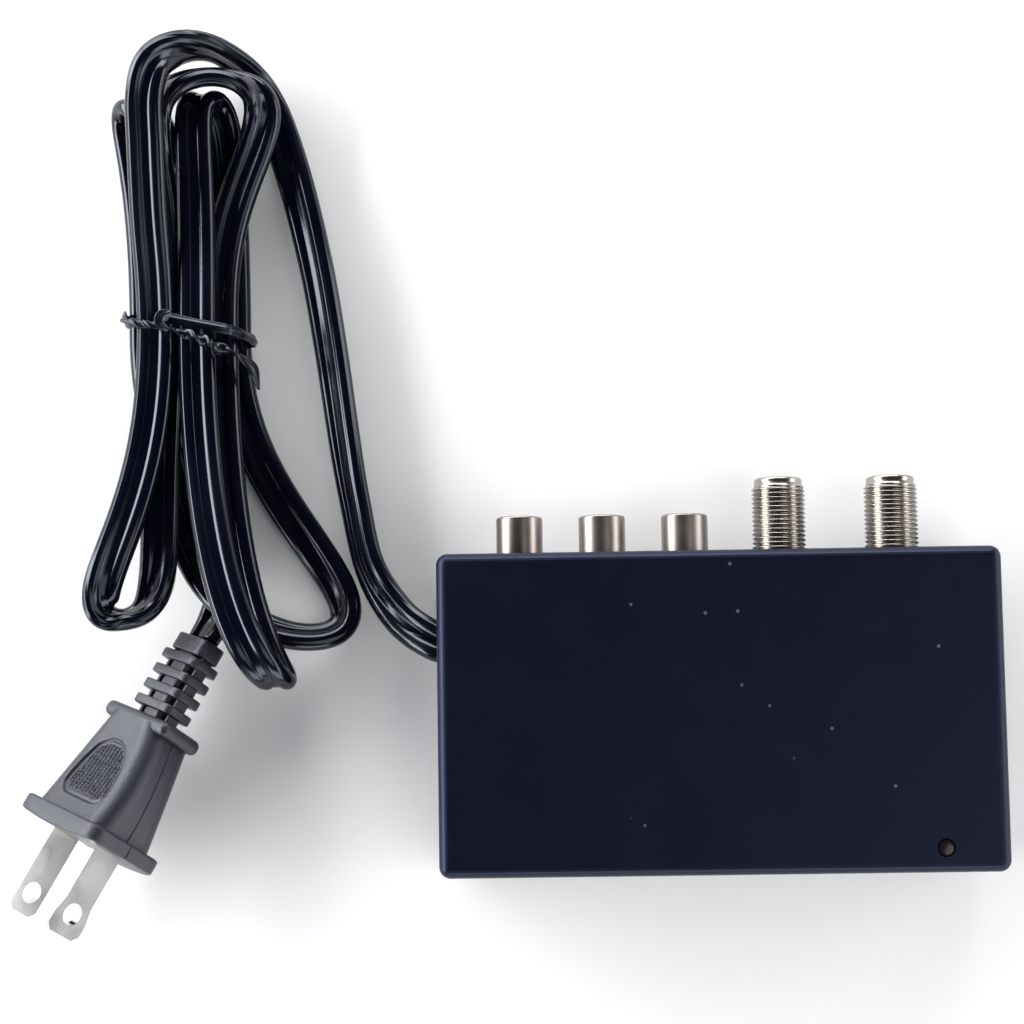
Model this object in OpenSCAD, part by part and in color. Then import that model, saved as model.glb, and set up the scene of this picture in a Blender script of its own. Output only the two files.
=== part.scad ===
// A flat radio-frequency modulator in a black two-part case. Three phono
// sockets and two threaded aerial sockets stand out of its back, a slide
// switch lies between the aerial sockets, and a flat mains cord leaves the
// left side, is folded into a tied hank and ends in a two-blade plug.
// Sizes are in millimetres. +Z is up, +Y points where the sockets point and
// +X to the right. The origin is on the floor, under the middle of the case
// taken together with its sockets.

/* [Case] */
// Width of the case from left to right
case_w = 98; // [97:0.5:110]
// Depth of the case without its sockets
case_d = 56; // [55.5:0.5:64]
// Height of the case on its feet
case_h = 26.2; // [26:0.1:32]
// Thickness of the case walls
wall = 2; // [1.6:0.1:2.4]
// Rounding of the outer edges and corners
corner_r = 2; // [1:0.1:3]
// Height of the joint between the covers above the cord's slot
split_room = 0.8; // [0.5:0.1:1.8]
// Height of the lip that locates the two covers
lip_h = 1.2; // [0.8:0.1:1.6]
// Thickness of that lip
lip_t = 0.9; // [0.6:0.1:1.1]
// Clearance between case pieces that fit together
fit_gap = 0.15; // [0.1:0.05:0.25]

/* [Screws and feet] */
// Distance of the screw posts from the sides of the case
post_inset = 5.2; // [5.1:0.1:5.4]
// Distance of the front posts from the front of the case
post_front = 6.85; // [6.5:0.1:8]
// Distance of the rear posts from the back of the case
post_rear = 7.75; // [7.7:0.05:7.8]
// Diameter of the screw posts
post_d = 6.8; // [6.6:0.1:7]
// Height of the floor above which a screw head sits
well_h = 4; // [3.6:0.1:5]
// Diameter of the screw heads
head_d = 5; // [4.6:0.1:5.1]
// Height of the screw heads
head_h = 1.6; // [1.2:0.1:2]
// Diameter of the screw shanks
shank_d = 2.6; // [2.4:0.1:2.9]
// Length of the screw shanks
shank_l = 14; // [12:0.5:16]
// Width across the drive recess of a screw
drive_w = 2.8; // [2.2:0.1:3.2]
// Width of each arm of that recess
drive_t = 0.7; // [0.5:0.1:0.9]
// Depth of that recess
drive_h = 0.9; // [0.6:0.1:1.1]
// Diameter of the feet
foot_d = 10; // [8:0.5:11]
// Height of the feet below the case
foot_h = 1.2; // [0.8:0.1:2]
// Depth of the recess that holds each foot
foot_recess = 0.4; // [0.2:0.1:0.8]
// Distance of the feet from the sides of the case
foot_inset_x = 15; // [14.5:0.5:20]
// Distance of the feet from the front and back of the case
foot_inset_y = 8; // [7.5:0.5:10]

/* [Rear panel] */
// Distance of the rear panel's ends from the sides of the case
panel_inset = 3; // [2.6:0.1:3.4]
// Distance of the rear panel from the top and bottom of the case
panel_cover = 1.8; // [1.6:0.1:2]
// Thickness of the rear panel
panel_t = 1.6; // [1.4:0.1:1.8]
// Depth of the rear panel below the back of the case
panel_recess = 1; // [0.8:0.1:1.2]
// Width of the edge that the case holds the panel by
panel_lap = 2; // [1.5:0.1:2.2]
// Depth of the frame in the case that holds the panel
rim_d = 4.6; // [4.3:0.1:4.8]
// How far the socket axes lie below the middle of the rear panel
socket_drop = 0.2; // [0:0.05:0.3]

/* [Phono sockets] */
// Place of the middle phono socket from the middle of the case
rca_x = -19.8; // [-20:0.1:-19.4]
// Distance between phono sockets
rca_pitch = 14.75; // [14:0.05:14.9]
// Outer diameter of a socket's sleeve
rca_d = 8.3; // [8.2:0.05:8.5]
// Thickness of the sleeve
rca_wall = 0.8; // [0.6:0.05:0.9]
// How far the sleeve stands out of the case
rca_reach = 7.2; // [7:0.1:9]
// Rounding of the sleeve's rim
rca_round = 0.45; // [0.2:0.05:0.5]
// Width of the neck that passes through the panel
rca_neck_d = 9.4; // [9.2:0.1:9.6]
// How far the neck stands out of the panel
neck_reach = 0.5; // [0.3:0.1:0.8]
// Thickness of the socket's flange behind the panel
rca_flange_t = 1; // [0.8:0.1:1.4]
// Diameter of the hole for the plug's pin
rca_bore_d = 3.2; // [3.1:0.05:3.3]
// Depth of the coloured insulator below the rim
rca_sink = 0.8; // [0.4:0.1:1.2]
// Thickness of the insulator in front of the contact
rca_front_t = 2.2; // [1.8:0.1:2.6]
// Thickness of the contact's wall
contact_t = 0.5; // [0.4:0.05:0.6]
// Length over which the contact grips the pin
contact_l = 4; // [3:0.1:4.1]
// Depth of the socket housing behind the flanges
rca_housing_d = 5; // [4:0.1:5.2]
// Gap between the socket housing and the top of the rear window
housing_room = 2.6; // [1.6:0.1:3.6]
// Width of the housing beyond the outer axes
rca_side = 5.1; // [4.8:0.1:5.2]

/* [Aerial sockets] */
// Place midway between the aerial sockets
aerial_x = 21.8; // [21:0.1:22]
// Distance between the aerial sockets
aerial_pitch = 20; // [19.5:0.1:20.5]
// Outer diameter of the thread
thread_d = 9.525; // [9.4:0.025:9.6]
// Distance from thread crest to thread crest
thread_pitch = 0.794; // [0.75:0.002:0.9]
// Depth of the thread
thread_depth = 0.4; // [0.3:0.05:0.5]
// How far an aerial socket stands out of the case
aerial_reach = 13.5; // [12.5:0.1:15]
// Diameter of the plain nose in front of the thread
nose_d = 8.5; // [8.2:0.1:8.7]
// Length of that nose
nose_l = 1.4; // [1:0.1:2]
// Rounding of that nose
nose_r = 0.6; // [0.3:0.1:0.8]
// Diameter of the neck that passes through the panel
aerial_neck_d = 10.2; // [10:0.1:10.4]
// Diameter of the flange inside the shield can
aerial_flange_d = 11.2; // [10.8:0.1:11.3]
// Thickness of that flange
aerial_flange_t = 1; // [0.8:0.1:1.2]
// Gap between that flange and the board
flange_gap = 0.1; // [0.05:0.05:0.2]
// Diameter of the insulator
aerial_ins_d = 7; // [6.6:0.1:7.2]
// Depth of the insulator below the nose
aerial_sink = 0.5; // [0.3:0.1:0.8]
// Diameter of the hole for the centre wire
aerial_hole_d = 1.2; // [1:0.1:1.6]
// Depth of that hole
aerial_hole_l = 4; // [3:0.1:6]

/* [Channel switch] */
// Width of the switch frame
switch_w = 8.2; // [8:0.1:8.4]
// Depth of the switch frame
switch_d = 4.8; // [4.4:0.1:5]
// Height of the switch frame
switch_h = 5; // [4.8:0.1:5.4]
// Thickness of the frame's walls
switch_wall = 0.8; // [0.7:0.1:0.9]
// Travel of the slider between its two places
switch_travel = 2; // [1.6:0.1:2.2]
// Running gap around the slider
switch_gap = 0.12; // [0.08:0.01:0.16]
// Width of the slider's knob
knob_w = 2.6; // [2.4:0.1:2.8]
// Height of the slider's knob
knob_h = 2.6; // [2.2:0.1:2.8]
// How far the knob stands out of the panel
knob_reach = 0.7; // [0.4:0.1:0.8]

/* [Shield can] */
// Distance from an aerial socket's axis to the side of the can
can_side = 7.8; // [7.4:0.1:7.9]
// Depth of the can from front to back
can_d = 27; // [25:0.5:28]
// Thickness of the can's sheet
can_t = 0.5; // [0.4:0.05:0.6]
// Thickness of the board inside the can
inner_board_t = 1; // [0.8:0.1:1.2]
// Gap from that board to the can
inner_board_gap = 1.2; // [0.8:0.1:1.6]
// Diameter of the pins that carry that board
pin_d = 1; // [0.8:0.1:1.4]
// Diameter of the tuning coil's former
former_d = 5.2; // [4.8:0.1:5.6]
// Height of the tuning coil's former
former_h = 8; // [7:0.1:8.5]
// Diameter of the tuning core
core_d = 3; // [2.8:0.1:3.4]
// Length of the tuning core
core_l = 5.5; // [4.5:0.1:6]
// Running gap between core and former
core_gap = 0.06; // [0.03:0.01:0.09]
// Diameter of the coil's wire
coil_wire_d = 0.7; // [0.5:0.05:0.8]

/* [Indicator] */
// Diameter of the indicator lamp
led_d = 3; // [2.8:0.1:3.2]
// Distance of the lamp from the right side of the case
led_side = 11.3; // [11:0.1:12]
// Distance of the lamp from the front of the case
led_front = 4.25; // [4.2:0.05:4.6]
// Length of the lamp
led_l = 5; // [4.5:0.1:6]
// Diameter of the lamp's collar
led_collar_d = 3.8; // [3.6:0.1:4]
// Height of that collar
led_collar_h = 1; // [0.8:0.1:1.2]
// Height of the lamp's crown
led_crown = 0.3; // [0.1:0.1:0.5]
// Distance between the lamp's leads
led_lead_gap = 2; // [1.8:0.1:2.4]
// Diameter of component leads
lead_d = 0.6; // [0.5:0.05:0.7]

/* [Circuit board] */
// Gap between the board and the case walls
board_gap = 0.4; // [0.3:0.1:0.6]
// Gap between the board and the frame at the back
board_rear_gap = 1; // [0.6:0.1:1.4]
// Thickness of the board
board_t = 1.6; // [1.4:0.1:1.8]
// Diameter of the stands under the board
stand_d = 5; // [4:0.1:6]

/* [Transformer] */
// Width of the core's middle leg
leg_w = 9; // [8.5:0.1:9.2]
// Width of the core's windows
window_w = 9; // [8.5:0.1:9.2]
// Length of the core's windows
window_l = 21; // [20:0.5:21.5]
// Gap between the bobbin and the top cover
trafo_room = 0.8; // [0.4:0.1:1.4]
// Gap between the core and the nearest screw post
trafo_gap = 0.6; // [0.3:0.1:0.9]
// Thickness of the bobbin's walls
bobbin_wall = 1; // [0.8:0.1:1.2]
// How far the bobbin stands above and below the core
bobbin_rise = 2.3; // [2.2:0.1:2.6]
// Clearance of the bobbin in the core
bobbin_gap = 0.15; // [0.1:0.05:0.25]
// How far the windings stay below the bobbin's edge
winding_sink = 0.6; // [0.4:0.1:1]
// Rounding of the windings' corners
winding_r = 2; // [1.5:0.1:2.4]

/* [Parts on the board] */
// Diameter of the larger capacitor
cap_d = 10; // [9:0.1:10.5]
// Gap between the larger capacitor and the top cover
cap_room = 2.4; // [1.4:0.1:4.4]
// Diameter of the smaller capacitor
cap2_d = 8; // [6:0.1:8.5]
// How much lower the smaller capacitor is
cap2_drop = 2.5; // [1:0.5:4]
// Gap between the capacitors and the front of the board
cap_gap = 0.6; // [0.4:0.1:1]
// Depth of the crimped groove round a capacitor
cap_groove = 0.4; // [0.3:0.05:0.5]
// Diameter of a diode
diode_d = 2.7; // [2.4:0.1:3]
// Length of a diode
diode_l = 5.2; // [4.5:0.1:5.5]
// Gap between the diodes and the transformer's core
diode_gap = 1.1; // [0.6:0.1:1.6]
// Distance between diodes
diode_pitch = 4.2; // [4:0.1:4.5]
// Length of a small part over its bent leads
span = 10; // [9:0.1:11]
// Gap between small parts that lie end to end
part_gap = 2; // [1.6:0.1:2.2]
// Gap between the rows of small parts and the shield can
row_gap = 0.6; // [0.4:0.1:1]
// Diameter of the resistors
resistor_d = 2.3; // [1.8:0.1:2.5]
// Length of the resistors
resistor_l = 6.3; // [5:0.1:6.8]
// Diameter of the fuse
fuse_d = 5; // [4.5:0.1:5.2]
// Length of the fuse
fuse_l = 20; // [18:0.5:21]
// Length of the fuse's metal caps
fuse_cap_l = 5; // [4:0.1:5.5]
// Thickness of the fuse holder's clips
clip_t = 0.5; // [0.4:0.05:0.6]
// Length of those clips
clip_l = 4; // [3:0.1:4]
// Height of the fuse's axis above the board
fuse_lift = 4.2; // [4:0.1:4.6]
// Width of the voltage regulator
reg_w = 10; // [9.5:0.1:10.4]
// Thickness of the regulator's body
reg_t = 4.5; // [4.2:0.1:4.8]
// Gap between the regulator's tab and the top cover
reg_room = 0.9; // [0.7:0.1:1.4]
// Thickness of the regulator's metal tab
tab_t = 1.3; // [1.1:0.1:1.4]
// Height of the tab above the body
tab_h = 4.5; // [4.2:0.1:4.8]
// Diameter of the hole in the tab
tab_hole_d = 2.6; // [2.4:0.1:2.9]
// Length of the regulator's legs
reg_leg = 2; // [1.8:0.1:2.2]
// Width of the chip
chip_w = 6.4; // [6:0.1:7]
// Length of the chip
chip_l = 9.6; // [9:0.1:10]
// Thickness of the chip
chip_t = 3.3; // [3:0.1:3.6]
// Height of the chip above the board
chip_lift = 0.6; // [0.4:0.1:0.8]
// Distance between the chip's legs
chip_pitch = 2.54; // [2.4:0.02:2.6]

/* [Cord] */
// Width of the flat cord
cord_w = 7; // [6.4:0.1:7]
// Thickness of the flat cord
cord_t = 3.3; // [3:0.1:3.3]
// Place of the cord in front of the back of the case
cord_rear = 14.75; // [14.5:0.05:15]
// Height of the cord above the board where it leaves the case
cord_lift = 3.2; // [3.1:0.05:3.3]
// Clearance of the cord in its slot
slot_gap = 0.25; // [0.2:0.05:0.3]
// Distance of the cord clamp from the side of the case
clamp_side = 11; // [10.6:0.1:12]
// Length of the clamp along the cord
clamp_l = 5; // [4:0.1:6]
// Thickness of the clamp's walls
clamp_wall = 1.3; // [1:0.1:1.4]
// Diameter of a single insulated conductor inside the case
conductor_d = 2; // [1.8:0.1:2.2]

/* [Plug] */
// Length of the plug from its collar to its face
plug_l = 41.5; // [40:0.1:42]
// Width of the plug's front flange
face_w = 23.5; // [23:0.1:24]
// Height of that flange
face_h = 17.4; // [17:0.1:18]
// Thickness of that flange
face_t = 3.3; // [3:0.1:4]
// Corner radius of that flange
face_r = 3; // [2.5:0.1:3.5]
// Rounding of the flange's front edge
face_edge = 0.8; // [0.4:0.1:1.2]
// Width of the grip at its rear, middle and front
grip_w = [14, 19.2, 19.8];
// Height of the grip at its rear, middle and front
grip_h = [11, 11.4, 15.5];
// Corner radius of the grip
grip_r = 3.5; // [2:0.1:4]
// Depth of the textured field in the grip
field_depth = 0.5; // [0.3:0.1:0.8]
// Width of that field at its rear end
field_rear_w = 6.5; // [5:0.1:7]
// Width of that field at its front end
field_front_w = 12.4; // [10:0.1:13]
// Margin of that field at both ends of the grip
field_margin = 3; // [2.5:0.1:4]
// Width of the rear flange
stop_w = 18.2; // [17:0.1:19]
// Height of the rear flange
stop_h = 10; // [9.8:0.1:11]
// Thickness of the rear flange
stop_t = 2.8; // [2.6:0.1:3.4]
// Corner radius of the rear flange
stop_r = 1.4; // [1:0.1:2.5]
// Distance of the rear flange's middle behind the face
stop_back = 23.5; // [23:0.1:24]
// Width of the ribs of the strain relief
rib_w = 11; // [10:0.1:12]
// Height of those ribs
rib_h = 6.8; // [6.2:0.1:7]
// Thickness of those ribs
rib_t = 1.7; // [1.4:0.1:1.9]
// Distance from rib to rib
rib_pitch = 3.2; // [3:0.05:3.3]
// Width of the core between the ribs
relief_w = 8.4; // [8:0.1:9]
// Height of the core between the ribs
relief_h = 4.6; // [4.4:0.1:5]
// Width of the collar at the cord
collar_w = 9.5; // [9:0.1:10]
// Height of the collar at the cord
collar_h = 5.6; // [5.2:0.1:6]
// Length of that collar
collar_l = 3.3; // [3:0.1:3.6]
// Turn of each rib of the strain relief against the next, in degrees
relief_twist = 0.8; // [0:0.1:1.5]
// Distance between the blades
blade_pitch = 12.7; // [12.6:0.1:12.8]
// Width of a blade
blade_w = 6.35; // [6.2:0.05:6.5]
// Width of the wide blade at its tip
wide_blade_w = 7.8; // [6.4:0.1:8]
// Length of the wide part of that blade
wide_blade_l = 3.2; // [2:0.1:6]
// Length over which that blade widens
wide_taper_l = 3; // [1:0.1:4]
// Thickness of a blade
blade_t = 1.5; // [1.4:0.05:1.6]
// Length of a blade in front of the face
blade_l = 15.9; // [15.6:0.1:18.2]
// Depth of a blade in the plug
blade_root = 6; // [4:0.5:10]
// Diameter of the hole in a blade
blade_hole_d = 3.9; // [3:0.1:4]
// Distance of that hole from the tip
blade_hole_back = 4.1; // [4:0.1:5]
// Chamfer at the tip of a blade
blade_tip = 1.2; // [0.8:0.1:1.6]

/* [Twist tie] */
// Width of the tie's ribbon
tie_w = 3.3; // [3:0.1:3.6]
// Thickness of the tie's ribbon
tie_t = 0.3; // [0.25:0.05:0.3]
// Width of the tie where it is twisted
twist_w = 2; // [1.6:0.1:2.4]
// Thickness of the tie where it is twisted
twist_t = 1; // [0.8:0.1:1.2]

/* [Hidden] */
$fn = 48;
// Facets of a rounded edge inside a hull
edge_facets = 32;
// How far a cut runs past the face it opens
over = 1;

case_y0 = -(case_d + aerial_reach) / 2;
case_y1 = case_y0 + case_d;
floor_z = foot_h + wall;
ceiling_z = case_h - wall;
in_x = case_w / 2 - wall;
in_y0 = case_y0 + wall;
in_y1 = case_y1 - rim_d;
panel_y = case_y1 - panel_recess;
panel_back = panel_y - panel_t;
panel_x = case_w / 2 - panel_inset;
panel_z0 = foot_h + panel_cover;
panel_z1 = case_h - panel_cover;
post_x = case_w / 2 - post_inset;
post_y0 = case_y0 + post_front;
post_y1 = case_y1 - post_rear;
seat_z = foot_h + well_h;
post_gap = (post_d - head_d) / 3;
boss_d = post_d - post_gap;
socket_z = (panel_z0 + panel_z1) / 2 - socket_drop;
board_top = socket_z - aerial_flange_d / 2 - flange_gap;
board_z = board_top - board_t;
board_room = ceiling_z - board_top;
board_x = in_x - board_gap;
board_y0 = in_y0 + board_gap;
board_y1 = in_y1 - board_rear_gap;
board_size = [2 * board_x, board_y1 - board_y0];
cord_y = case_y1 - cord_rear;
cord_z = board_top + cord_lift;
slot_w = cord_w + 2 * slot_gap;
slot_z0 = cord_z - cord_t / 2 - slot_gap;
slot_z1 = cord_z + cord_t / 2 + slot_gap;
split_z = slot_z1 + split_room;
led_x = case_w / 2 - led_side;
led_y = case_y0 + led_front;

// Places on the board, as shares of its width and depth
trafo_share = 0.385;
diodes_share = 0.09;
cap_share = 0.64;
cap2_share = 0.76;
reg_share = [0.88, 0.19];
resistors_share = 0.62;
chip_share = 0.5;
fuse_share = [0.33, 0.80];
former_share = [0.3, 0.4];
live_share = [0.195, 0.745];
neutral_share = [0.195, 0.905];
stand_shares = [[0.09, 0.3], [0.91, 0.3], [0.09, 0.7], [0.91, 0.7]];
// Share of the room between the aerial flanges and the top of the rear window
// that the shield can takes
can_share = 0.82;

// Place on the board's top for a pair of shares
function on_board(share) = [(share[0] - 1 / 2) * board_size[0], board_y0 + share[1] * board_size[1],
    board_top];
// Numbers -1 and 1, for pieces that come in pairs
pair = [-1, 1];
// Points of a quarter circle of radius r, from angle a to b, round a centre
function arc(centre, r, a, b, steps = 6) = [for (i = [0:steps])
    let (t = a + (b - a) * i / steps) centre + r * [cos(t), sin(t)]];

// Puts a child on a socket's axis: its Z runs out of the panel's face
module on_panel(x) {
    translate([x, panel_y, socket_z]) rotate([-90, 0, 0]) children();
}
// Box from corner a to corner b
module block(a, b) {
    translate(a) cube(b - a);
}
// Rounded rectangle, w by h about the origin
module round_rect(w, h, r) {
    square([w - 2 * r, h], center = true);
    square([w, h - 2 * r], center = true);
    for (x = pair, y = pair) translate([x * (w / 2 - r), y * (h / 2 - r)]) circle(r);
}
// The case from outside, with all its edges rounded
module case_body() {
    x = case_w / 2 - corner_r;
    hull() {
        for (i = pair, y = [case_y0 + corner_r, case_y1 - corner_r]) {
            for (z = [foot_h + corner_r, case_h - corner_r]) {
                translate([i * x, y, z]) sphere(corner_r, $fn = edge_facets);
            }
            translate([i * x, y, foot_h + corner_r])
                cylinder(r = corner_r, h = case_h - foot_h - 2 * corner_r, $fn = edge_facets);
        }
        block([-x, case_y0 + corner_r, foot_h], [x, case_y1 - corner_r, case_h]);
    }
}
// What both covers leave free: the inside, the rear window and the panel's slot
module case_inside() {
    block([-in_x, in_y0, floor_z], [in_x, in_y1, ceiling_z]);
    block([panel_lap - panel_x, in_y1 - over, panel_z0 + panel_lap], [panel_x - panel_lap, case_y1 + over,
        panel_z1 - panel_lap]);
    block([-panel_x - fit_gap, panel_back - fit_gap / 2, panel_z0 - fit_gap],
        [panel_x + fit_gap, panel_y + fit_gap / 2, panel_z1 + fit_gap]);
}
// The lip between the covers, made larger by grow
module lip(grow) {
    difference() {
        block([-in_x - lip_t - grow, in_y0 - lip_t - grow, split_z - over], [in_x + lip_t + grow, in_y1,
            split_z + lip_h + grow]);
        block([-in_x, in_y0, split_z - 2 * over], [in_x, in_y1 + over, split_z + 2 * lip_h]);
    }
}
module at_posts() {
    for (x = pair, y = [post_y0, post_y1]) translate([x * post_x, y, 0]) children();
}
module at_feet() {
    for (x = pair, y = [case_y0 + foot_inset_y, case_y1 - foot_inset_y])
        translate([x * (case_w / 2 - foot_inset_x), y, 0]) children();
}

module top_cover() {
    color([0.07, 0.08, 0.13]) difference() {
        union() {
            difference() {
                intersection() {
                    case_body();
                    block([-case_w, -case_d, split_z], [case_w, case_d, case_h + over]);
                }
                case_inside();
                lip(fit_gap);
            }
            intersection() {
                at_posts() translate([0, 0, seat_z + post_top])
                    cylinder(d = boss_d, h = ceiling_z + wall / 2 - seat_z - post_top);
                block([-case_w, -case_d, foot_h], [case_w, panel_back - over, case_h]);
            }
            block([-case_w / 2, cord_y - cord_w / 2, slot_z1], [-in_x, cord_y + cord_w / 2,
                split_z + wall]);
        }
        at_posts() translate([0, 0, seat_z]) cylinder(d = shank_d + fit_gap, h = shank_l + over);
        translate([led_x, led_y, ceiling_z - over]) cylinder(d = led_d + fit_gap, h = wall + 2 * over);
    }
}
// Height of a bottom post above the seat of its screw
post_top = 6.5;

module bottom_cover() {
    color([0.06, 0.06, 0.09]) difference() {
        union() {
            difference() {
                union() {
                    intersection() {
                        case_body();
                        block([-case_w, -case_d, foot_h], [case_w, case_d, split_z]);
                    }
                    lip(0);
                }
                case_inside();
            }
            at_posts() translate([0, 0, foot_h + wall / 2])
                cylinder(d = post_d, h = seat_z + post_top - foot_h - wall / 2);
            for (share = stand_shares) translate([on_board(share)[0], on_board(share)[1],
                foot_h + wall / 2]) cylinder(d = stand_d, h = board_z - foot_h - wall / 2);
        }
        at_posts() {
            translate([0, 0, foot_h - over]) cylinder(d = head_d + 2 * fit_gap, h = well_h + over);
            translate([0, 0, seat_z - over]) cylinder(d = shank_d + 2 * fit_gap, h = post_top + 2 * over);
        }
        at_feet() translate([0, 0, foot_h - over]) cylinder(d = foot_d, h = foot_recess + over);
        block([-case_w / 2 - over, cord_y - slot_w / 2, slot_z0], [-in_x + over, cord_y + slot_w / 2,
            split_z + lip_h + over]);
    }
}
module rear_panel() {
    color([0.05, 0.05, 0.07]) difference() {
        block([-panel_x, panel_back, panel_z0], [panel_x, panel_y, panel_z1]);
        for (i = [-1:1]) on_panel(rca_x + i * rca_pitch) translate([0, 0, -panel_t - over])
            cylinder(d = rca_neck_d + fit_gap, h = panel_t + 2 * over);
        for (i = pair) on_panel(aerial_x + i * aerial_pitch / 2) translate([0, 0, -panel_t - over])
            cylinder(d = aerial_neck_d + fit_gap, h = panel_t + 2 * over);
        knob_window(panel_back - over, panel_y + over);
    }
}
// The slot that the knob passes through, from y0 to y1
module knob_window(y0, y1) {
    w = knob_w + switch_travel + 4 * switch_gap;
    h = knob_h + 2 * switch_gap;
    block([aerial_x - w / 2, y0, socket_z - h / 2], [aerial_x + w / 2, y1, socket_z + h / 2]);
}
module case_screws() {
    color([0.55, 0.56, 0.58]) at_posts() difference() {
        translate([0, 0, seat_z]) rotate_extrude() polygon([
            [0, -head_h], [head_d / 2 - head_h / 3, -head_h], [head_d / 2, -head_h * 2 / 3],
                [head_d / 2, 0],
            [shank_d / 2, 0], [shank_d / 2, shank_l - shank_d / 2], [0, shank_l]]);
        for (a = [0, 90]) translate([0, 0, seat_z - head_h + drive_h / 2]) rotate([0, 0, a])
            cube([drive_w, drive_t, drive_h + drive_t / 2], center = true);
    }
}
module feet() {
    color([0.09, 0.09, 0.09]) at_feet() rotate_extrude() polygon([
        [0, 0], [foot_d / 2 - foot_recess, 0], [foot_d / 2, foot_recess],
            [foot_d / 2, foot_h + foot_recess], [0, foot_h + foot_recess]]);
}

// Phono sockets. In their own frame Z runs out of the panel's face.
rca_back = -panel_t - rca_flange_t;
rca_tip = panel_recess + rca_reach;
rca_in = rca_d / 2 - rca_wall;
rca_face = rca_tip - rca_sink;
grip_end = rca_face - rca_front_t;
contact_r = rca_bore_d / 2 + contact_t;
housing_top = panel_z1 - panel_lap - housing_room;

module rca_housing() {
    color([0.07, 0.07, 0.07]) difference() {
        block([rca_x - rca_pitch - rca_side, panel_back - rca_flange_t - rca_housing_d, board_top],
            [rca_x + rca_pitch + rca_side, panel_back - rca_flange_t, housing_top]);
        for (i = [-1:1]) on_panel(rca_x + i * rca_pitch)
            translate([0, 0, rca_back - rca_housing_d - over]) cylinder(r = contact_r + fit_gap,
            h = rca_housing_d + 2 * over);
    }
}
module rca_sleeves() {
    color([0.72, 0.70, 0.66]) for (i = [-1:1]) on_panel(rca_x + i * rca_pitch) rotate_extrude()
        polygon(concat(
        [[rca_in, rca_back], [rca_side, rca_back], [rca_side, -panel_t], [rca_neck_d / 2, -panel_t],
            [rca_neck_d / 2, neck_reach], [rca_d / 2, neck_reach]],
        arc([rca_d / 2 - rca_round, rca_tip - rca_round], rca_round, 0, 90),
        [[rca_in, rca_tip]]));
}
module rca_insulator(i) {
    on_panel(rca_x + i * rca_pitch) rotate_extrude() polygon([
        [contact_r, rca_back], [rca_in, rca_back], [rca_in, rca_face], [rca_bore_d / 2, rca_face],
        [rca_bore_d / 2, grip_end], [contact_r, grip_end]]);
}
module rca_insulator_yellow() { color([0.93, 0.78, 0.12]) rca_insulator(-1); }
module rca_insulator_white() { color([0.92, 0.92, 0.90]) rca_insulator(0); }
module rca_insulator_red() { color([0.75, 0.08, 0.08]) rca_insulator(1); }
module rca_contacts() {
    r = rca_bore_d / 2;
    color([0.75, 0.70, 0.55]) for (i = [-1:1]) {
        on_panel(rca_x + i * rca_pitch) rotate_extrude() polygon([
            [0, rca_back - rca_housing_d - contact_t], [contact_r, rca_back - rca_housing_d - contact_t],
                [contact_r, grip_end], [r, grip_end],
            [r, grip_end - contact_l], [r + contact_t / 2, grip_end - contact_l],
                [r + contact_t / 2, rca_back], [0, rca_back]]);
        translate([rca_x + i * rca_pitch, panel_y + rca_back - rca_housing_d - contact_t, 0])
            block([-contact_t, -contact_t, board_top], [contact_t, 0, socket_z]);
    }
}

// Aerial sockets, in the same frame
can_y1 = panel_back - fit_gap;
can_y0 = can_y1 - can_d;
can_x = aerial_pitch / 2 + can_side;
flange_top = socket_z + aerial_flange_d / 2;
can_top = flange_top + can_share * (panel_z1 - panel_lap - can_t - flange_top);
aerial_wall = panel_y - can_y1 + can_t;
aerial_back = -aerial_wall - aerial_flange_t;
aerial_tip = panel_recess + aerial_reach;
thread_l = aerial_tip - nose_l - neck_reach;
thread_turns = floor(thread_l / thread_pitch);
// Shares of the pitch at which a thread ring rises, levels and falls
thread_shares = [0.1, 0.4, 0.6, 0.9];

module aerial_bodies() {
    root = thread_d / 2 - thread_depth;
    color([0.74, 0.73, 0.70]) for (i = pair) on_panel(aerial_x + i * aerial_pitch / 2) rotate_extrude()
        polygon(concat(
        [[aerial_ins_d / 2, aerial_back], [aerial_flange_d / 2, aerial_back],
            [aerial_flange_d / 2, -aerial_wall],
         [aerial_neck_d / 2, -aerial_wall], [aerial_neck_d / 2, neck_reach], [root, neck_reach]],
        [for (k = [0:thread_turns - 1], s = [0:3]) [s == 0 || s == 3 ? root : thread_d / 2,
            neck_reach + (k + thread_shares[s]) * thread_pitch]],
        [[root, aerial_tip - nose_l], [nose_d / 2, aerial_tip - nose_l]],
        arc([nose_d / 2 - nose_r, aerial_tip - nose_r], nose_r, 0, 90),
        [[aerial_ins_d / 2, aerial_tip]]));
}
module aerial_insulators() {
    color([0.90, 0.89, 0.85]) for (i = pair) on_panel(aerial_x + i * aerial_pitch / 2) rotate_extrude()
        polygon([
        [aerial_hole_d / 2, aerial_back], [aerial_ins_d / 2, aerial_back],
            [aerial_ins_d / 2, aerial_tip - aerial_sink], [aerial_hole_d / 2, aerial_tip - aerial_sink]]);
}
module aerial_contacts() {
    color([0.78, 0.70, 0.45]) for (i = pair) {
        on_panel(aerial_x + i * aerial_pitch / 2) translate([0, 0, aerial_back - 2 * aerial_hole_d])
            cylinder(d = aerial_hole_d,
                h = aerial_tip - aerial_sink - aerial_hole_l - aerial_back + 2 * aerial_hole_d);
        translate([aerial_x + i * aerial_pitch / 2, panel_y + aerial_back - 2 * aerial_hole_d, 0])
            block([-lead_d / 2, 0, inner_top], [lead_d / 2, aerial_hole_d, socket_z]);
    }
}
inner_top = socket_z - switch_h / 2;

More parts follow.
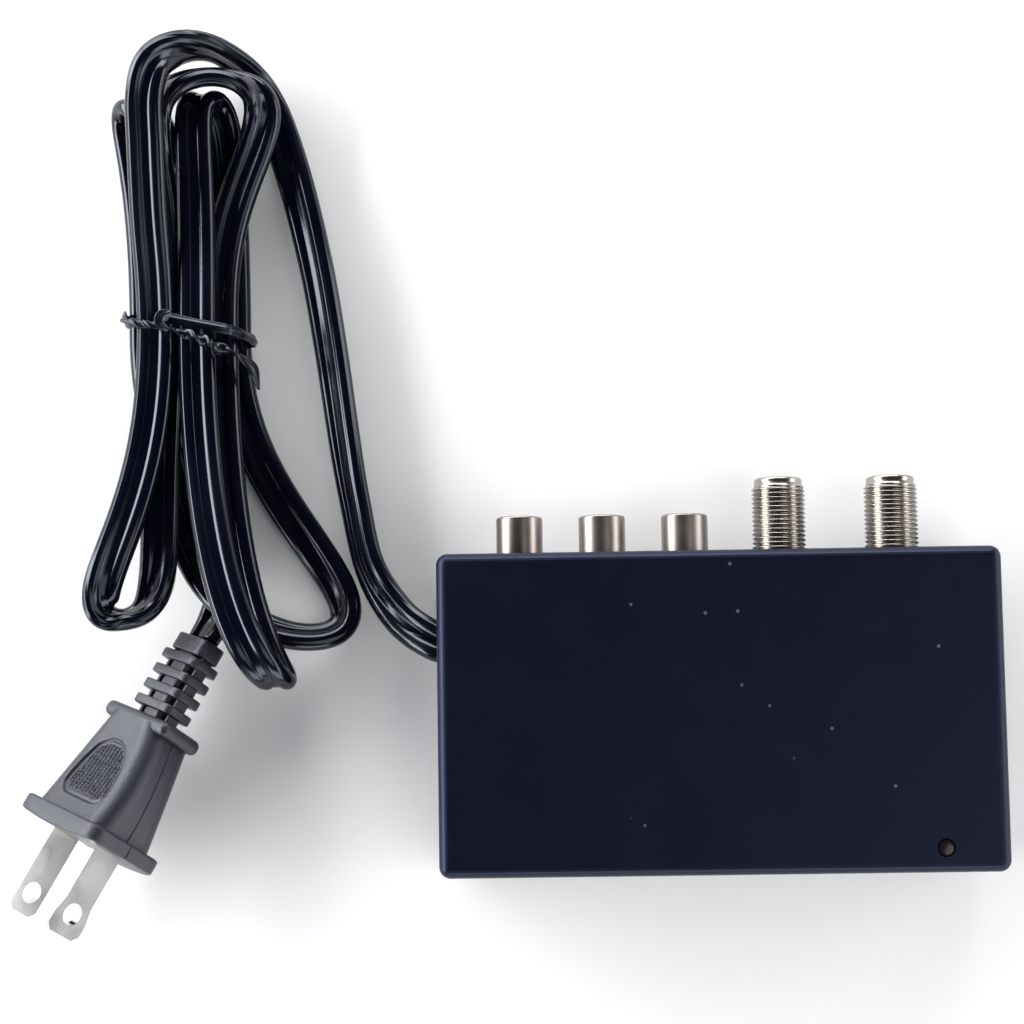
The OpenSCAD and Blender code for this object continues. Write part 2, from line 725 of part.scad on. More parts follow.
module shield_can() {
    color([0.66, 0.66, 0.64]) difference() {
        block([aerial_x - can_x, can_y0, board_top], [aerial_x + can_x, can_y1, can_top]);
        block([aerial_x - can_x + can_t, can_y0 + can_t, board_top - over],
            [aerial_x + can_x - can_t, can_y1 - can_t, can_top + over]);
        for (i = pair) on_panel(aerial_x + i * aerial_pitch / 2) translate([0, 0, -aerial_wall - over])
            cylinder(d = aerial_neck_d + fit_gap, h = can_t + 2 * over);
        knob_window(can_y1 - can_t - over, can_y1 + over);
    }
}
module can_lid() {
    former = former_place();
    color([0.70, 0.70, 0.68]) difference() {
        block([aerial_x - can_x, can_y0, can_top], [aerial_x + can_x, can_y1, can_top + can_t]);
        translate([former[0], former[1], can_top - over]) cylinder(d = core_d, h = can_t + 2 * over);
    }
}
function former_place() = [aerial_x - can_x + former_share[0] * 2 * can_x,
    can_y0 + former_share[1] * can_d, inner_top];
module inner_board() {
    x = can_x - can_t - inner_board_gap;
    y0 = can_y0 + can_t + inner_board_gap;
    y1 = can_y1 - can_t - aerial_flange_t - inner_board_gap;
    color([0.35, 0.30, 0.12]) {
        block([aerial_x - x, y0, inner_top - inner_board_t], [aerial_x + x, y1, inner_top]);
        for (i = pair, y = [y0 + pin_d, y1 - pin_d]) translate([aerial_x + i * (x - pin_d), y, board_top])
            cylinder(d = pin_d, h = inner_top - inner_board_t / 2 - board_top);
    }
}
module coil_former() {
    color([0.80, 0.78, 0.70]) translate(former_place()) difference() {
        cylinder(d = former_d, h = former_h);
        translate([0, 0, -over]) cylinder(r = core_d / 2 + core_gap, h = former_h + 2 * over);
    }
}
module coil_winding() {
    turns = 6;
    color([0.72, 0.38, 0.15]) translate(former_place()) rotate_extrude() {
        translate([former_d / 2, coil_wire_d]) square([coil_wire_d / 2, (turns - 1) * coil_wire_d]);
        for (i = [0:turns - 1]) translate([former_d / 2 + coil_wire_d / 2,
            (i + 1) * coil_wire_d]) intersection() {
            circle(d = coil_wire_d, $fn = 16);
            translate([-coil_wire_d / 4, -coil_wire_d / 2]) square([coil_wire_d, coil_wire_d]);
        }
    }
}
module tuning_core() {
    color([0.20, 0.20, 0.20]) translate(former_place() + [0, 0, former_h - core_l - drive_h]) difference() {
        cylinder(d = core_d, h = core_l);
        translate([-core_d, -drive_t / 2, core_l - drive_h]) cube([2 * core_d, drive_t, drive_h + over]);
    }
}

// Channel switch, in the can behind the panel
carriage_w = switch_w - 2 * switch_wall - switch_travel - 2 * switch_gap;
carriage_h = switch_h - 2 * switch_wall - 2 * switch_gap;
switch_y1 = can_y1 - can_t;
module switch_frame() {
    color([0.60, 0.60, 0.60]) difference() {
        block([aerial_x - switch_w / 2, switch_y1 - switch_d, socket_z - switch_h / 2],
            [aerial_x + switch_w / 2, switch_y1, socket_z + switch_h / 2]);
        block([aerial_x - switch_w / 2 + switch_wall, switch_y1 - switch_d + switch_wall,
            socket_z - switch_h / 2 + switch_wall], [aerial_x + switch_w / 2 - switch_wall,
            switch_y1 + over, socket_z + switch_h / 2 - switch_wall]);
    }
}
module switch_slider() {
    x = aerial_x - switch_travel / 2;
    color([0.08, 0.08, 0.08]) difference() {
        union() {
            block([x - carriage_w / 2, switch_y1 - switch_d + switch_wall + switch_gap,
                socket_z - carriage_h / 2], [x + carriage_w / 2, switch_y1 - switch_gap,
                socket_z + carriage_h / 2]);
            block([x - knob_w / 2, switch_y1 - switch_wall, socket_z - knob_h / 2],
                [x + knob_w / 2, panel_y + knob_reach, socket_z + knob_h / 2]);
        }
        for (i = [-1:1]) translate([x + i * knob_w / 4, panel_y + knob_reach, socket_z])
            cube([knob_w / 8, knob_reach / 2, knob_h + over], center = true);
    }
}

module led_lens() {
    color([0.07, 0.05, 0.06]) translate([led_x, led_y, case_h - led_l]) rotate_extrude() polygon(concat(
        [[0, 0], [led_collar_d / 2, 0], [led_collar_d / 2, led_collar_h], [led_d / 2, led_collar_h],
            [led_d / 2, led_l - led_crown]],
        [for (i = [1:5]) [led_d / 2 * cos(i * 18), led_l - led_crown + led_crown * sin(i * 18)]]));
}
module led_leads() {
    color([0.70, 0.70, 0.70]) for (i = pair) translate([led_x, led_y + i * led_lead_gap / 2, board_top])
        cylinder(d = lead_d, h = case_h - led_l - board_top);
}

module circuit_board() {
    cut = post_d / 2 + board_gap;
    color([0.10, 0.28, 0.14]) difference() {
        block([-board_x, board_y0, board_z], [board_x, board_y1, board_top]);
        for (x = pair, y = [post_y0, post_y1]) {
            y0 = y < 0 ? case_y0 : y - cut;
            y1 = y < 0 ? y + cut : case_y1;
            block([x < 0 ? -case_w : post_x - cut, y0, board_z - over], [x < 0 ? cut - post_x : case_w,
                y1, board_top + over]);
        }
    }
}

// Transformer, with its middle leg along Y
bobbin_h = board_room - trafo_room;
stack_h = bobbin_h - 2 * bobbin_rise;
core_w = 2 * leg_w + 2 * window_w;
trafo_x = post_d / 2 - post_x + trafo_gap + core_w / 2;
trafo = [trafo_x, on_board([0, trafo_share])[1], board_top + bobbin_h / 2];
tube_w = leg_w + 2 * bobbin_gap;
tube_h = stack_h + 2 * bobbin_gap;
bobbin_w = leg_w + 2 * window_w - 2 * bobbin_gap;
bobbin_l = window_l - 2 * bobbin_gap;
module transformer_core() {
    color([0.30, 0.30, 0.32]) translate(trafo) difference() {
        cube([core_w, window_l + leg_w, stack_h], center = true);
        for (i = pair) translate([i * (leg_w + window_w) / 2, 0, 0])
            cube([window_w, window_l, stack_h + over], center = true);
    }
}
// A plate across the bobbin at y, thick by t, w wide and h high
module across(y, t, w, h, r) {
    translate([0, y + t / 2, 0]) rotate([90, 0, 0]) linear_extrude(t) round_rect(w, h, r);
}
module leg_hole() {
    cube([tube_w, window_l + over, tube_h], center = true);
}
module transformer_bobbin() {
    color([0.85, 0.83, 0.75]) translate(trafo) difference() {
        union() {
            cube([tube_w + 2 * bobbin_wall, bobbin_l, tube_h + 2 * bobbin_wall], center = true);
            for (i = [-1:1]) across(i * (bobbin_l - bobbin_wall) / 2, bobbin_wall, bobbin_w, bobbin_h,
                bobbin_wall);
        }
        leg_hole();
    }
}
module winding(side) {
    l = bobbin_l / 2 - 3 * bobbin_wall / 2;
    translate(trafo) difference() {
        across(side * (bobbin_l - bobbin_wall) / 4, l, bobbin_w - 2 * winding_sink,
            bobbin_h - 2 * winding_sink, winding_r);
        cube([tube_w + 2 * bobbin_wall, window_l, tube_h + 2 * bobbin_wall], center = true);
    }
}
module primary_winding() { color([0.80, 0.70, 0.20]) winding(-1); }
module secondary_winding() { color([0.75, 0.66, 0.18]) winding(1); }

// A small part that lies along X on bent leads
module lying_part(d, l) {
    rotate([0, 90, 0]) cylinder(d = d, h = l, center = true);
    rotate([0, 90, 0]) cylinder(d = lead_d, h = span, center = true);
    for (i = pair) translate([i * (span - lead_d) / 2, 0, -d / 2 - lead_d])
        cylinder(d = lead_d, h = d / 2 + lead_d);
}
module rectifier_diodes() {
    x = trafo_x + core_w / 2 + diode_gap + span / 2;
    color([0.10, 0.10, 0.10]) for (i = [0:3])
        translate([x, on_board([0, diodes_share])[1] + (i - 1 / 2) * diode_pitch,
            board_top + diode_d / 2 + lead_d]) lying_part(diode_d, diode_l);
}
// Place i of row j of the small parts, in front of the can
function row_place(i, j) = [
    on_board([resistors_share, 0])[0] + i * (span + part_gap),
    can_y0 - row_gap - resistor_d / 2 - (1 - j) * diode_pitch,
    board_top + resistor_d / 2 + lead_d];
module resistors() {
    color([0.72, 0.62, 0.45]) for (i = [0:2], j = [0:1]) translate(row_place(i, j)) lying_part(resistor_d,
        resistor_l);
}
module capacitor(d, h) {
    g = cap_groove;
    rotate_extrude() polygon([
        [0, 0], [d / 2 - g, 0], [d / 2, g], [d / 2, 3 * g], [d / 2 - g, 4 * g], [d / 2, 5 * g],
        [d / 2, h - g], [d / 2 - g, h], [0, h]]);
}
// Place of a capacitor of diameter d at the front of the board
function cap_place(share, d) = [on_board([share, 0])[0], board_y0 + cap_gap + d / 2, board_top];
cap_h = board_room - cap_room;
module capacitors() {
    color([0.08, 0.10, 0.25]) {
        translate(cap_place(cap_share, cap_d)) capacitor(cap_d, cap_h);
        translate(cap_place(cap2_share, cap2_d)) capacitor(cap2_d, cap_h - cap2_drop);
    }
}
reg_h = board_room - reg_leg - tab_h - reg_room;
module regulator_body() {
    color([0.09, 0.09, 0.09]) translate(on_board(reg_share)) {
        block([-reg_w / 2, -reg_t / 2, reg_leg], [reg_w / 2, reg_t / 2 - tab_t, reg_leg + reg_h]);
        for (i = [-1:1]) block([i * chip_pitch - lead_d / 2, -lead_d / 2, 0],
            [i * chip_pitch + lead_d / 2, lead_d / 2, reg_leg]);
    }
}
module regulator_tab() {
    color([0.68, 0.68, 0.68]) translate(on_board(reg_share)) difference() {
        block([-reg_w / 2, reg_t / 2 - tab_t, reg_leg], [reg_w / 2, reg_t / 2, reg_leg + reg_h + tab_h]);
        translate([0, reg_t / 2 - tab_t - over, reg_leg + reg_h + tab_h / 2]) rotate([-90, 0, 0])
            cylinder(d = tab_hole_d, h = tab_t + 2 * over);
    }
}
module chip() {
    // Midway between the transformer's core and the can
    x = (trafo_x + core_w / 2 + aerial_x - can_x) / 2;
    color([0.07, 0.07, 0.07]) translate([x, on_board([0, chip_share])[1], board_top]) {
        block([-chip_w / 2, -chip_l / 2, chip_lift], [chip_w / 2, chip_l / 2, chip_lift + chip_t]);
        for (i = pair, j = [-3:2:3]) translate([i * chip_w / 2, j * chip_pitch / 2, 0])
            block([-lead_d / 2, -lead_d / 2, 0], [lead_d / 2, lead_d / 2, chip_lift + chip_t / 2]);
    }
}
module fuse_glass() {
    color([0.85, 0.88, 0.88]) translate(on_board(fuse_share) + [0, 0, fuse_lift]) rotate([0, 90, 0])
        cylinder(d = fuse_d - clip_t, h = fuse_l - 2 * fuse_cap_l, center = true);
}
module fuse_caps() {
    color([0.75, 0.74, 0.70]) for (i = pair)
        translate(on_board(fuse_share) + [i * (fuse_l - fuse_cap_l) / 2, 0, fuse_lift]) rotate([0, 90, 0])
        cylinder(d = fuse_d, h = fuse_cap_l, center = true);
}
module fuse_clips() {
    w = fuse_d / 2 + clip_t;
    color([0.70, 0.62, 0.35]) for (i = pair)
        translate(on_board(fuse_share) + [i * (fuse_l - fuse_cap_l) / 2, 0, 0]) difference() {
        block([-clip_l / 2, -w, 0], [clip_l / 2, w, fuse_lift + fuse_d / 2]);
        block([-clip_l, -fuse_d / 2, fuse_lift], [clip_l, fuse_d / 2, fuse_lift + fuse_d]);
        translate([0, 0, fuse_lift]) rotate([0, 90, 0]) cylinder(d = fuse_d, h = 2 * clip_l, center = true);
        block([-clip_l, clip_t - w, clip_t], [clip_l, w - clip_t, fuse_lift - fuse_d / 2 + clip_t]);
    }
}

// Cord inside the case: the flat cord, its clamp and its two conductors
inner_end = clamp_side + clamp_l + over - case_w / 2;
module inner_cord() {
    color([0.05, 0.05, 0.05]) translate([-in_x, cord_y, cord_z]) rotate([90, 0, 90])
        linear_extrude(inner_end + in_x) {
        square([cord_w - cord_t, cord_t], center = true);
        for (i = pair) translate([i * (cord_w - cord_t) / 2, 0]) circle(d = cord_t);
    }
}
module cord_clamp() {
    x = clamp_side - case_w / 2;
    w = cord_w / 2 + fit_gap / 2;
    color([0.12, 0.12, 0.12]) difference() {
        block([x, cord_y - w - clamp_wall, board_top], [x + clamp_l, cord_y + w + clamp_wall,
            slot_z1 + clamp_wall]);
        block([x - over, cord_y - w, cord_z - cord_t / 2], [x + clamp_l + over, cord_y + w,
            cord_z + cord_t / 2]);
    }
}
module conductors() {
    color([0.10, 0.10, 0.10]) for (i = pair) {
        pad = on_board(i < 0 ? live_share : neutral_share);
        start = [inner_end, cord_y + i * (cord_w - cord_t) / 2, cord_z];
        turn = [pad[0], pad[1], cord_z];
        route = smooth_route([start, start + [conductor_d, 0, 0], turn - [0, 0, conductor_d / 2], pad], 4);
        heads = headings(route, [1, 0, 0], [0, 0, -1]);
        tube(route, heads, [for (h = heads) square_to([0, 1, 0], h)], conductor_section);
    }
}
conductor_section = [for (a = [0:45:315]) conductor_d / 2 * [cos(a), sin(a)]];

// Smooth curves and tubes
up = [0, 0, 1];
function unit(v) = v / norm(v);
// The direction in the plane square to t that lies nearest to b
function square_to(b, t) = unit(b - (b * t) * t);
// Point at share u of the way from b to c on the curve through a, b, c and d
function curve(a, b, c, d, u) = (2 * b + (c - a) * u + (2 * a - 5 * b + 4 * c - d) * u * u
    + (3 * b - a - 3 * c + d) * u * u * u) / 2;
// The curve through the points p, with n steps to a point
function smooth_route(p, n) = let (k = len(p) - 1) concat(
    [for (i = [0:k - 1], j = [0:n - 1]) curve(i == 0 ? 2 * p[0] - p[1] : p[i - 1], p[i], p[i + 1],
        i == k - 1 ? 2 * p[k] - p[k - 1] : p[i + 2], j / n)],
    [p[k]]);
function headings(p, first, last) = let (k = len(p) - 1) [for (i = [0:k]) i == 0 ? first : i == k ? last
    : unit(p[i + 1] - p[i - 1])];
// Broad direction of the flat cord, rolled out of the horizontal
function broad(t, roll, sense) = square_to(sense * cos(roll) * unit(cross(t, up)) + sin(roll) * up, t);
// A tube of the given section, closed at both ends by triangles
module tube(centres, heads, broads, section) {
    n = len(section);
    m = len(centres);
    points = [for (i = [0:m - 1], s = section) centres[i] + s[0] * broads[i] + s[1] * cross(heads[i],
        broads[i])];
    sides = [for (i = [0:m - 2], j = [0:n - 1]) let (a = i * n + j, b = i * n + (j + 1) % n)
        each [[a, a + n, b], [b, a + n, b + n]]];
    first = [for (j = [1:n - 2]) [0, j, j + 1]];
    last = [for (j = [1:n - 2]) [(m - 1) * n, (m - 1) * n + j + 1, (m - 1) * n + j]];
    polyhedron(points, concat(sides, first, last));
}

// Cord outside the case. Its section has eight sides, in the hank six.
core_half = (cord_w - cord_t) / 2;
edge_share = 0.22;
flat_share = 0.7;
cord_section = let (a = cord_w / 2, b = edge_share * cord_t,
    c = core_half + (1 - flat_share) * cord_t / 2, d = cord_t / 2) [
    [a, -b], [a, b], [c, d], [-c, d], [-a, b], [-a, -b], [-c, -d], [c, -d]];
hank_section = let (a = cord_w / 2, c = core_half, d = cord_t / 2) [[a, 0], [c, d], [-c, d], [-a, 0],
    [-c, -d], [c, -d]];
// Waist of the hank, where the tie holds it, and the places across it (x, z)
// that the strands take one after another
hank_x = -96;
hank_y = 65;
lanes = [[-4.5, 9.8], [-3.5, 5.9], [6.6, 5.9], [3, 9.9], [8.4, 2], [-7.3, 2], [0.5, 2]];
// The loops of the hank, each from the waist round and back to the waist:
// side of the waist, length, lean, width, rise, slant, bluntness, roll,
// flat hold (-1, 0 or 1), hump and power of the roll
loops = [
    [-1, 53.5, -6.8, -8.4, 2.1, 1.5, 0.035, 75, 0, 3, 8],
    [1, 46, 5, -14.5, 6, 3.2, 0, 70, 0, 0, 8],
    [-1, 65, 13, 0, 5.5, -3.6, 0.055, 0, -1, 5, 8],
    [1, 42.5, -1.4, -1.5, 2.5, 2, 0.055, 0, -1, 0, 8],
    [-1, 57, 22.5, 14.5, 4.7, -4.2, -0.01, -60, 0, 0, 4],
    [1, 42, -6, -1.5, 3.6, -5, 0.05, 0, 1, 0, 8]
];
loop_rings = 24;
swell_share = 0.77;
// Point of loop k at share t of its way: y swings out and back like a sine,
// x and z slide from lane to lane, lean out at the far end and swell to a
// loop in between
function loop_point(k, t) = let (
    l = loops[k], a = lanes[k], b = lanes[k + 1],
    out = sin(180 * t), twice = sin(360 * t),
    mix = t * t * (3 - 2 * t),
    swell = swell_share * twice * out * out
) [
    hank_x + a[0] + (b[0] - a[0]) * mix + l[2] * out * out + l[3] * swell,
    hank_y + l[0] * l[1] * (out + l[6] * sin(540 * t)) / (1 - l[6]),
    a[1] + (b[1] - a[1]) * mix + l[4] * out * out + l[5] * swell + l[9] * twice * twice
];
hank_steps = [for (k = [0:len(loops) - 1], j = [0:loop_rings - 1]) [k, j / loop_rings]];
hank_end = [hank_x + lanes[6][0], hank_y, lanes[6][1]];
hank_route = concat([for (s = hank_steps) loop_point(s[0], s[1])], [hank_end]);
hank_heads = headings(hank_route, [0, -1, 0], [0, -1, 0]);
hank_broads = [for (i = [0:len(hank_route) - 1]) let (s = hank_steps[min(i, len(hank_steps) - 1)],
    l = loops[s[0]])
    l[8] != 0 ? square_to([l[8], 0, 0], hank_heads[i])
        : broad(hank_heads[i], l[7] * pow(sin(180 * s[1]), l[10]), 1)];

// Least gap of the hank to itself: its flat core is three lines of points,
// and what lies nearer along the cord than two widths isn't compared
function to_line(p, a, b) = let (d = b - a, s = max(0, min(1, (p - a) * d / (d * d)))) norm(p - a - s * d);
function core_points(i) = [for (s = [-1, 0, 1]) hank_route[i] + s * core_half * hank_broads[i]];
function least_gap() = let (
    n = len(hank_route),
    core = [for (i = [0:n - 1]) core_points(i)],
    step = [for (i = [0:n - 2]) norm(hank_route[i + 1] - hank_route[i])],
    skip = ceil(2 * cord_w / min(step) / 2)
) min([for (i = [0:n - 1], j = [0:n - 2])
    if (abs(i - j) > skip && norm(hank_route[i] - hank_route[j]) < 2 * cord_w + step[j])
    each [for (p = core[i], s = [0:2]) to_line(p, core[j][s], core[j + 1][s])]]) - cord_t;

// Route of the cord from the case to the waist: x, y, z and roll in degrees
lead_points = [
    [-47, 6.5, 11, 0], [-50, 6.7, 10.9, 0], [-56.5, 11.5, 8, 20], [-62, 20.5, 5, 45], [-64.8, 33, 4.5, 45],
    [-66.6, 44, 4.5, 40], [-69, 61, 4.3, 35], [-71.5, 76, 4.2, 30], [-75, 91, 3.2, 20],
        [-78.4, 102, 2.3, 8],
    [-81, 108.5, 2.6, 20], [-84.5, 114, 4.6, 60], [-89.5, 117, 8.5, 80], [-95, 116.4, 13, 65],
        [-99.6, 112.6, 17, 25],
    [-101.4, 106.5, 17.2, 5], [-101.4, 97, 15.8, 0], [-101.2, 85, 13.4, 0], [-100.7, 74, 11, 0],
        [-100.5, 65, 9.8, 0]
];
// Route of the cord from the waist to the plug's collar
tail_points = [
    [-95.5, 65, 2, 0], [-94, 50, 2, 0], [-91, 36, 2, 0], [-89.3, 25, 2, 0], [-89, 18.8, 2.1, 0],
    [-89.5, 14.6, 2.9, 10], [-90.7, 11, 4.7, 31], [-92.5, 7.5, 6.5, 46]
];
function places(p) = [for (q = p) [q[0], q[1], q[2]]];
module cord_run(points, steps, first, last, sense) {
    rolled = smooth_route(points, steps);
    route = places(rolled);
    heads = headings(route, first, last);
    tube(route, heads, [for (i = [0:len(route) - 1]) broad(heads[i], rolled[i][3], sense)], cord_section);
}
module cord_lead() {
    color([0.04, 0.04, 0.04]) cord_run(lead_points, 2, [-1, 0, 0], [0, -1, 0], 1);
}
module cord_hank() {
    echo("least gap of the hank to itself", least_gap());
    color([0.04, 0.04, 0.04]) tube(hank_route, hank_heads, hank_broads, hank_section);
}
module cord_tail() {
    color([0.04, 0.04, 0.04]) cord_run(tail_points, 2, [0, -1, 0], plug_axis, -1);
}

// Twist tie: a ribbon laid round the waist and two twisted ends
tie_y = 65;
tie_points = [
    [-107.3, 0.3], [-83.6, 0.3], [-83.5, 4.2], [-85.2, 8.2], [-88.6, 12],
    [-104.6, 12], [-107.4, 4.2]
];
tie_left = [[-100, 64.9, 13.1, 0], [-103, 65, 13.3, 180], [-105.5, 65.8, 12.2, 360],
    [-107.3, 66.4, 10.2, 540]];
tie_right = [[-96.6, 64.2, 13.1, 0], [-92.6, 63, 13.4, 200], [-88.6, 61.6, 13, 400],
    [-85.2, 60.4, 10.6, 600], [-83.2, 58.4, 8.4, 700], [-82, 55.6, 6.4, 760]];
twist_section = [for (a = [0:45:315]) [twist_w / 2 * cos(a), twist_t / 2 * sin(a)]];
module twisted(points) {
    rolled = smooth_route(points, 5);
    route = places(rolled);
    heads = headings(route, unit(route[1] - route[0]), unit(route[len(route) - 1] - route[len(route) - 2]));
    tube(route, heads, [for (i = [0:len(route) - 1])
        let (b = square_to(up, heads[i])) cos(rolled[i][3]) * b + sin(rolled[i][3]) * cross(heads[i], b)],
        twist_section);
}
module twist_tie() {
    color([0.03, 0.03, 0.03]) {
        translate([0, tie_y + tie_w / 2, 0]) rotate([90, 0, 0]) linear_extrude(tie_w) difference() {
            offset(r = tie_t, $fn = 16) polygon(tie_points);
            polygon(tie_points);
        }
        twisted(tie_left);
        twisted(tie_right);
    }
}

// Plug. In its own frame Z runs out of the face between the blades, X from
// blade to blade, and the frame's origin is on the face.
plug_turn = 240.8;
plug_lift = 10;
plug_roll = 41.6;
plug_axis = [cos(plug_lift) * cos(plug_turn), cos(plug_lift) * sin(plug_turn), sin(plug_lift)];
plug_side = [-sin(plug_turn), cos(plug_turn), 0];
plug_up = cross(plug_axis, plug_side);
plug_x = cos(plug_roll) * plug_side + sin(plug_roll) * plug_up;
plug_y = cross(plug_axis, plug_x);
plug_back = [-92.5, 7.5, 6.5];
module in_plug() {
    o = plug_back + plug_l * plug_axis;
    multmatrix([
        [plug_x[0], plug_y[0], plug_axis[0], o[0]],
        [plug_x[1], plug_y[1], plug_axis[1], o[1]],
        [plug_x[2], plug_y[2], plug_axis[2], o[2]],
        [0, 0, 0, 1]]) children();
}
// A rounded plate from z0 to z1
module plate(w, h, r, z0, z1) {
    translate([0, 0, z0]) linear_extrude(z1 - z0) round_rect(w, h, r);
}
// Size of the grip at share t of its length, through its three given sizes
function grip_size(s, t) = s[0] * (1 - t) * (1 - 2 * t) + 4 * s[1] * t * (1 - t) + s[2] * t * (2 * t - 1);
function rounded(w, h, r, z) = [for (q = [[1, 1, 0], [-1, 1, 90], [-1, -1, 180], [1, -1, 270]],
    a = [0:22.5:90])
    [q[0] * (w / 2 - r) + r * cos(q[2] + a), q[1] * (h / 2 - r) + r * sin(q[2] + a), z]];
grip_z0 = -stop_back;
grip_z1 = -face_t / 2;
grip_steps = 8;
module grip(less) {
    rings = [for (i = [0:grip_steps]) let (t = i / grip_steps) rounded(grip_size(grip_w, t) - 2 * less,
        grip_size(grip_h, t) - 2 * less, grip_r, grip_z0 + (grip_z1 - grip_z0) * t)];
    n = len(rings[0]);
    points = [for (r = rings, p = r) p];
    sides = [for (i = [0:grip_steps - 1], j = [0:n - 1]) let (a = i * n + j, b = i * n + (j + 1) % n)
        each [[a, a + n, b], [b, a + n, b + n]]];
    first = [for (j = [1:n - 2]) [0, j, j + 1]];
    last = [for (j = [1:n - 2]) [grip_steps * n, grip_steps * n + j + 1, grip_steps * n + j]];
    polyhedron(points, concat(sides, first, last));
}
relief_z = -stop_back - stop_t / 2;
rib_count = 4;
module plug_body() {
    z0 = relief_z + field_margin + stop_t;
    z1 = -face_t - field_margin;
    color([0.12, 0.12, 0.12]) in_plug() difference() {
        union() {
            difference() {
                grip(0);
                difference() {
                    rotate([90, 0, 0]) linear_extrude(2 * face_h, center = true) polygon([
                        [-field_rear_w / 2, z0], [field_rear_w / 2, z0], [field_front_w / 2, z1],
                            [-field_front_w / 2, z1]]);
                    grip(field_depth);
                }
            }
            plate(face_w, face_h, face_r, -face_t, -face_edge);
            plate(face_w - face_edge, face_h - face_edge, face_r, -face_edge, -face_edge / 3);
            plate(face_w - 2 * face_edge, face_h - 2 * face_edge, face_r, -face_edge / 3, 0);
            plate(stop_w, stop_h, stop_r, relief_z, relief_z + stop_t);
            plate(relief_w, relief_h, relief_h / 4, collar_l - plug_l - rib_t / 2, relief_z + stop_t / 2);
            for (i = [1:rib_count]) rotate([0, 0, i * relief_twist])
                plate(rib_w, rib_h, rib_h / 4, relief_z - i * rib_pitch, relief_z - i * rib_pitch + rib_t);
            rotate([0, 0, (rib_count + 1) * relief_twist]) plate(collar_w, collar_h, collar_h / 4,
                -plug_l, collar_l - plug_l);
        }
        blades();
    }
}
// Half of a blade's outline, from its root to its tip; w is its width at the tip
function blade_half(w) = [
    [blade_w / 2, -blade_root], [blade_w / 2, blade_l - wide_blade_l - wide_taper_l],
    [w / 2, blade_l - wide_blade_l], [w / 2, blade_l - blade_tip], [w / 2 - blade_tip, blade_l]
];
module blade(w) {
    half = blade_half(w);
    other = [for (i = [len(half) - 1:-1:0]) [-half[i][0], half[i][1]]];
    rotate([90, 0, 90]) linear_extrude(blade_t, center = true) polygon(concat(half, other));
}
module blades() {
    translate([-blade_pitch / 2, 0, 0]) blade(blade_w);
    translate([blade_pitch / 2, 0, 0]) blade(wide_blade_w);
}
module plug_blades() {
    color([0.78, 0.77, 0.74]) in_plug() difference() {
        blades();
        translate([0, 0, blade_l - blade_hole_back]) rotate([0, 90, 0])
            cylinder(d = blade_hole_d, h = 2 * blade_pitch, center = true);
    }
}

top_cover();
bottom_cover();
rear_panel();
case_screws();
feet();
rca_housing();
rca_sleeves();
rca_insulator_yellow();
rca_insulator_white();
rca_insulator_red();
rca_contacts();
aerial_bodies();
aerial_insulators();
aerial_contacts();
shield_can();
can_lid();
inner_board();
coil_former();
coil_winding();
tuning_core();
switch_frame();
switch_slider();
led_lens();
led_leads();
circuit_board();
transformer_core();
transformer_bobbin();
primary_winding();
secondary_winding();
rectifier_diodes();
capacitors();
resistors();
regulator_body();
regulator_tab();
chip();
fuse_glass();
fuse_caps();
fuse_clips();
cord_clamp();
inner_cord();
conductors();
cord_lead();
cord_hank();
cord_tail();
twist_tie();
plug_body();
plug_blades();
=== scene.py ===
import bpy
import numpy as np
from math import pi, radians
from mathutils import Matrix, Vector


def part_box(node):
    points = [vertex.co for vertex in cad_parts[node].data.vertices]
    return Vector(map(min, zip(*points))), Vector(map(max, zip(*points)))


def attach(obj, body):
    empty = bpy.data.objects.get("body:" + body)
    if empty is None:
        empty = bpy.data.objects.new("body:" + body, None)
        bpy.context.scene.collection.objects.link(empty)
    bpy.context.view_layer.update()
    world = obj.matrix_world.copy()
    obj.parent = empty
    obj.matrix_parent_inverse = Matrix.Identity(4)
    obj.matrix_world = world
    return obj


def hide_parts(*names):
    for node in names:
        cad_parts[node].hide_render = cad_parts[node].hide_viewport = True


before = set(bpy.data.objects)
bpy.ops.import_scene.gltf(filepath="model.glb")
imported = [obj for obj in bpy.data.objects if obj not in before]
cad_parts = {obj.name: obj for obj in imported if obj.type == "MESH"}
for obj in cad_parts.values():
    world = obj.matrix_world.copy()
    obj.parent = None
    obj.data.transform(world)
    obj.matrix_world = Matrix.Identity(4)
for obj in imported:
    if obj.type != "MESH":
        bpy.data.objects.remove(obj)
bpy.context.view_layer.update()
mm = 0.001
up = np.array([0.0, 0.0, 1.0])
print("frame loaded")

# The camera looks straight down at the modulator, a little from the front.
view = {
    "place": (-27.61, -12.38, 424.77),  # mm
    "turn": (5.799, 1.227, -0.822),  # degrees about x, y and z
    "angle": 25.014,  # degrees, across the picture
    "near": 0.02,  # metres
}
cameraData = bpy.data.cameras.new("camera")
cameraData.angle = radians(view["angle"])
cameraData.clip_start = view["near"]
camera = bpy.data.objects.new("camera", cameraData)
camera.location = [v * mm for v in view["place"]]
camera.rotation_euler = [radians(v) for v in view["turn"]]
bpy.context.scene.collection.objects.link(camera)
bpy.context.scene.camera = camera


def unit(v):
    # a vector, or each row of vectors, divided by its length
    return v / np.linalg.norm(v, axis=-1, keepdims=True)


def squareTo(b, t):
    # b with its part along t taken away, made one long
    return unit(b - (b * t).sum(-1, keepdims=True) * t)


def ease(a, b, x):
    # 0 up to a, 1 from b on, and 3s^2 - 2s^3 at the share s of the way between, whichever is the larger
    s = np.clip((x - a) / (b - a), 0, 1)
    return s * s * (3 - 2 * s)


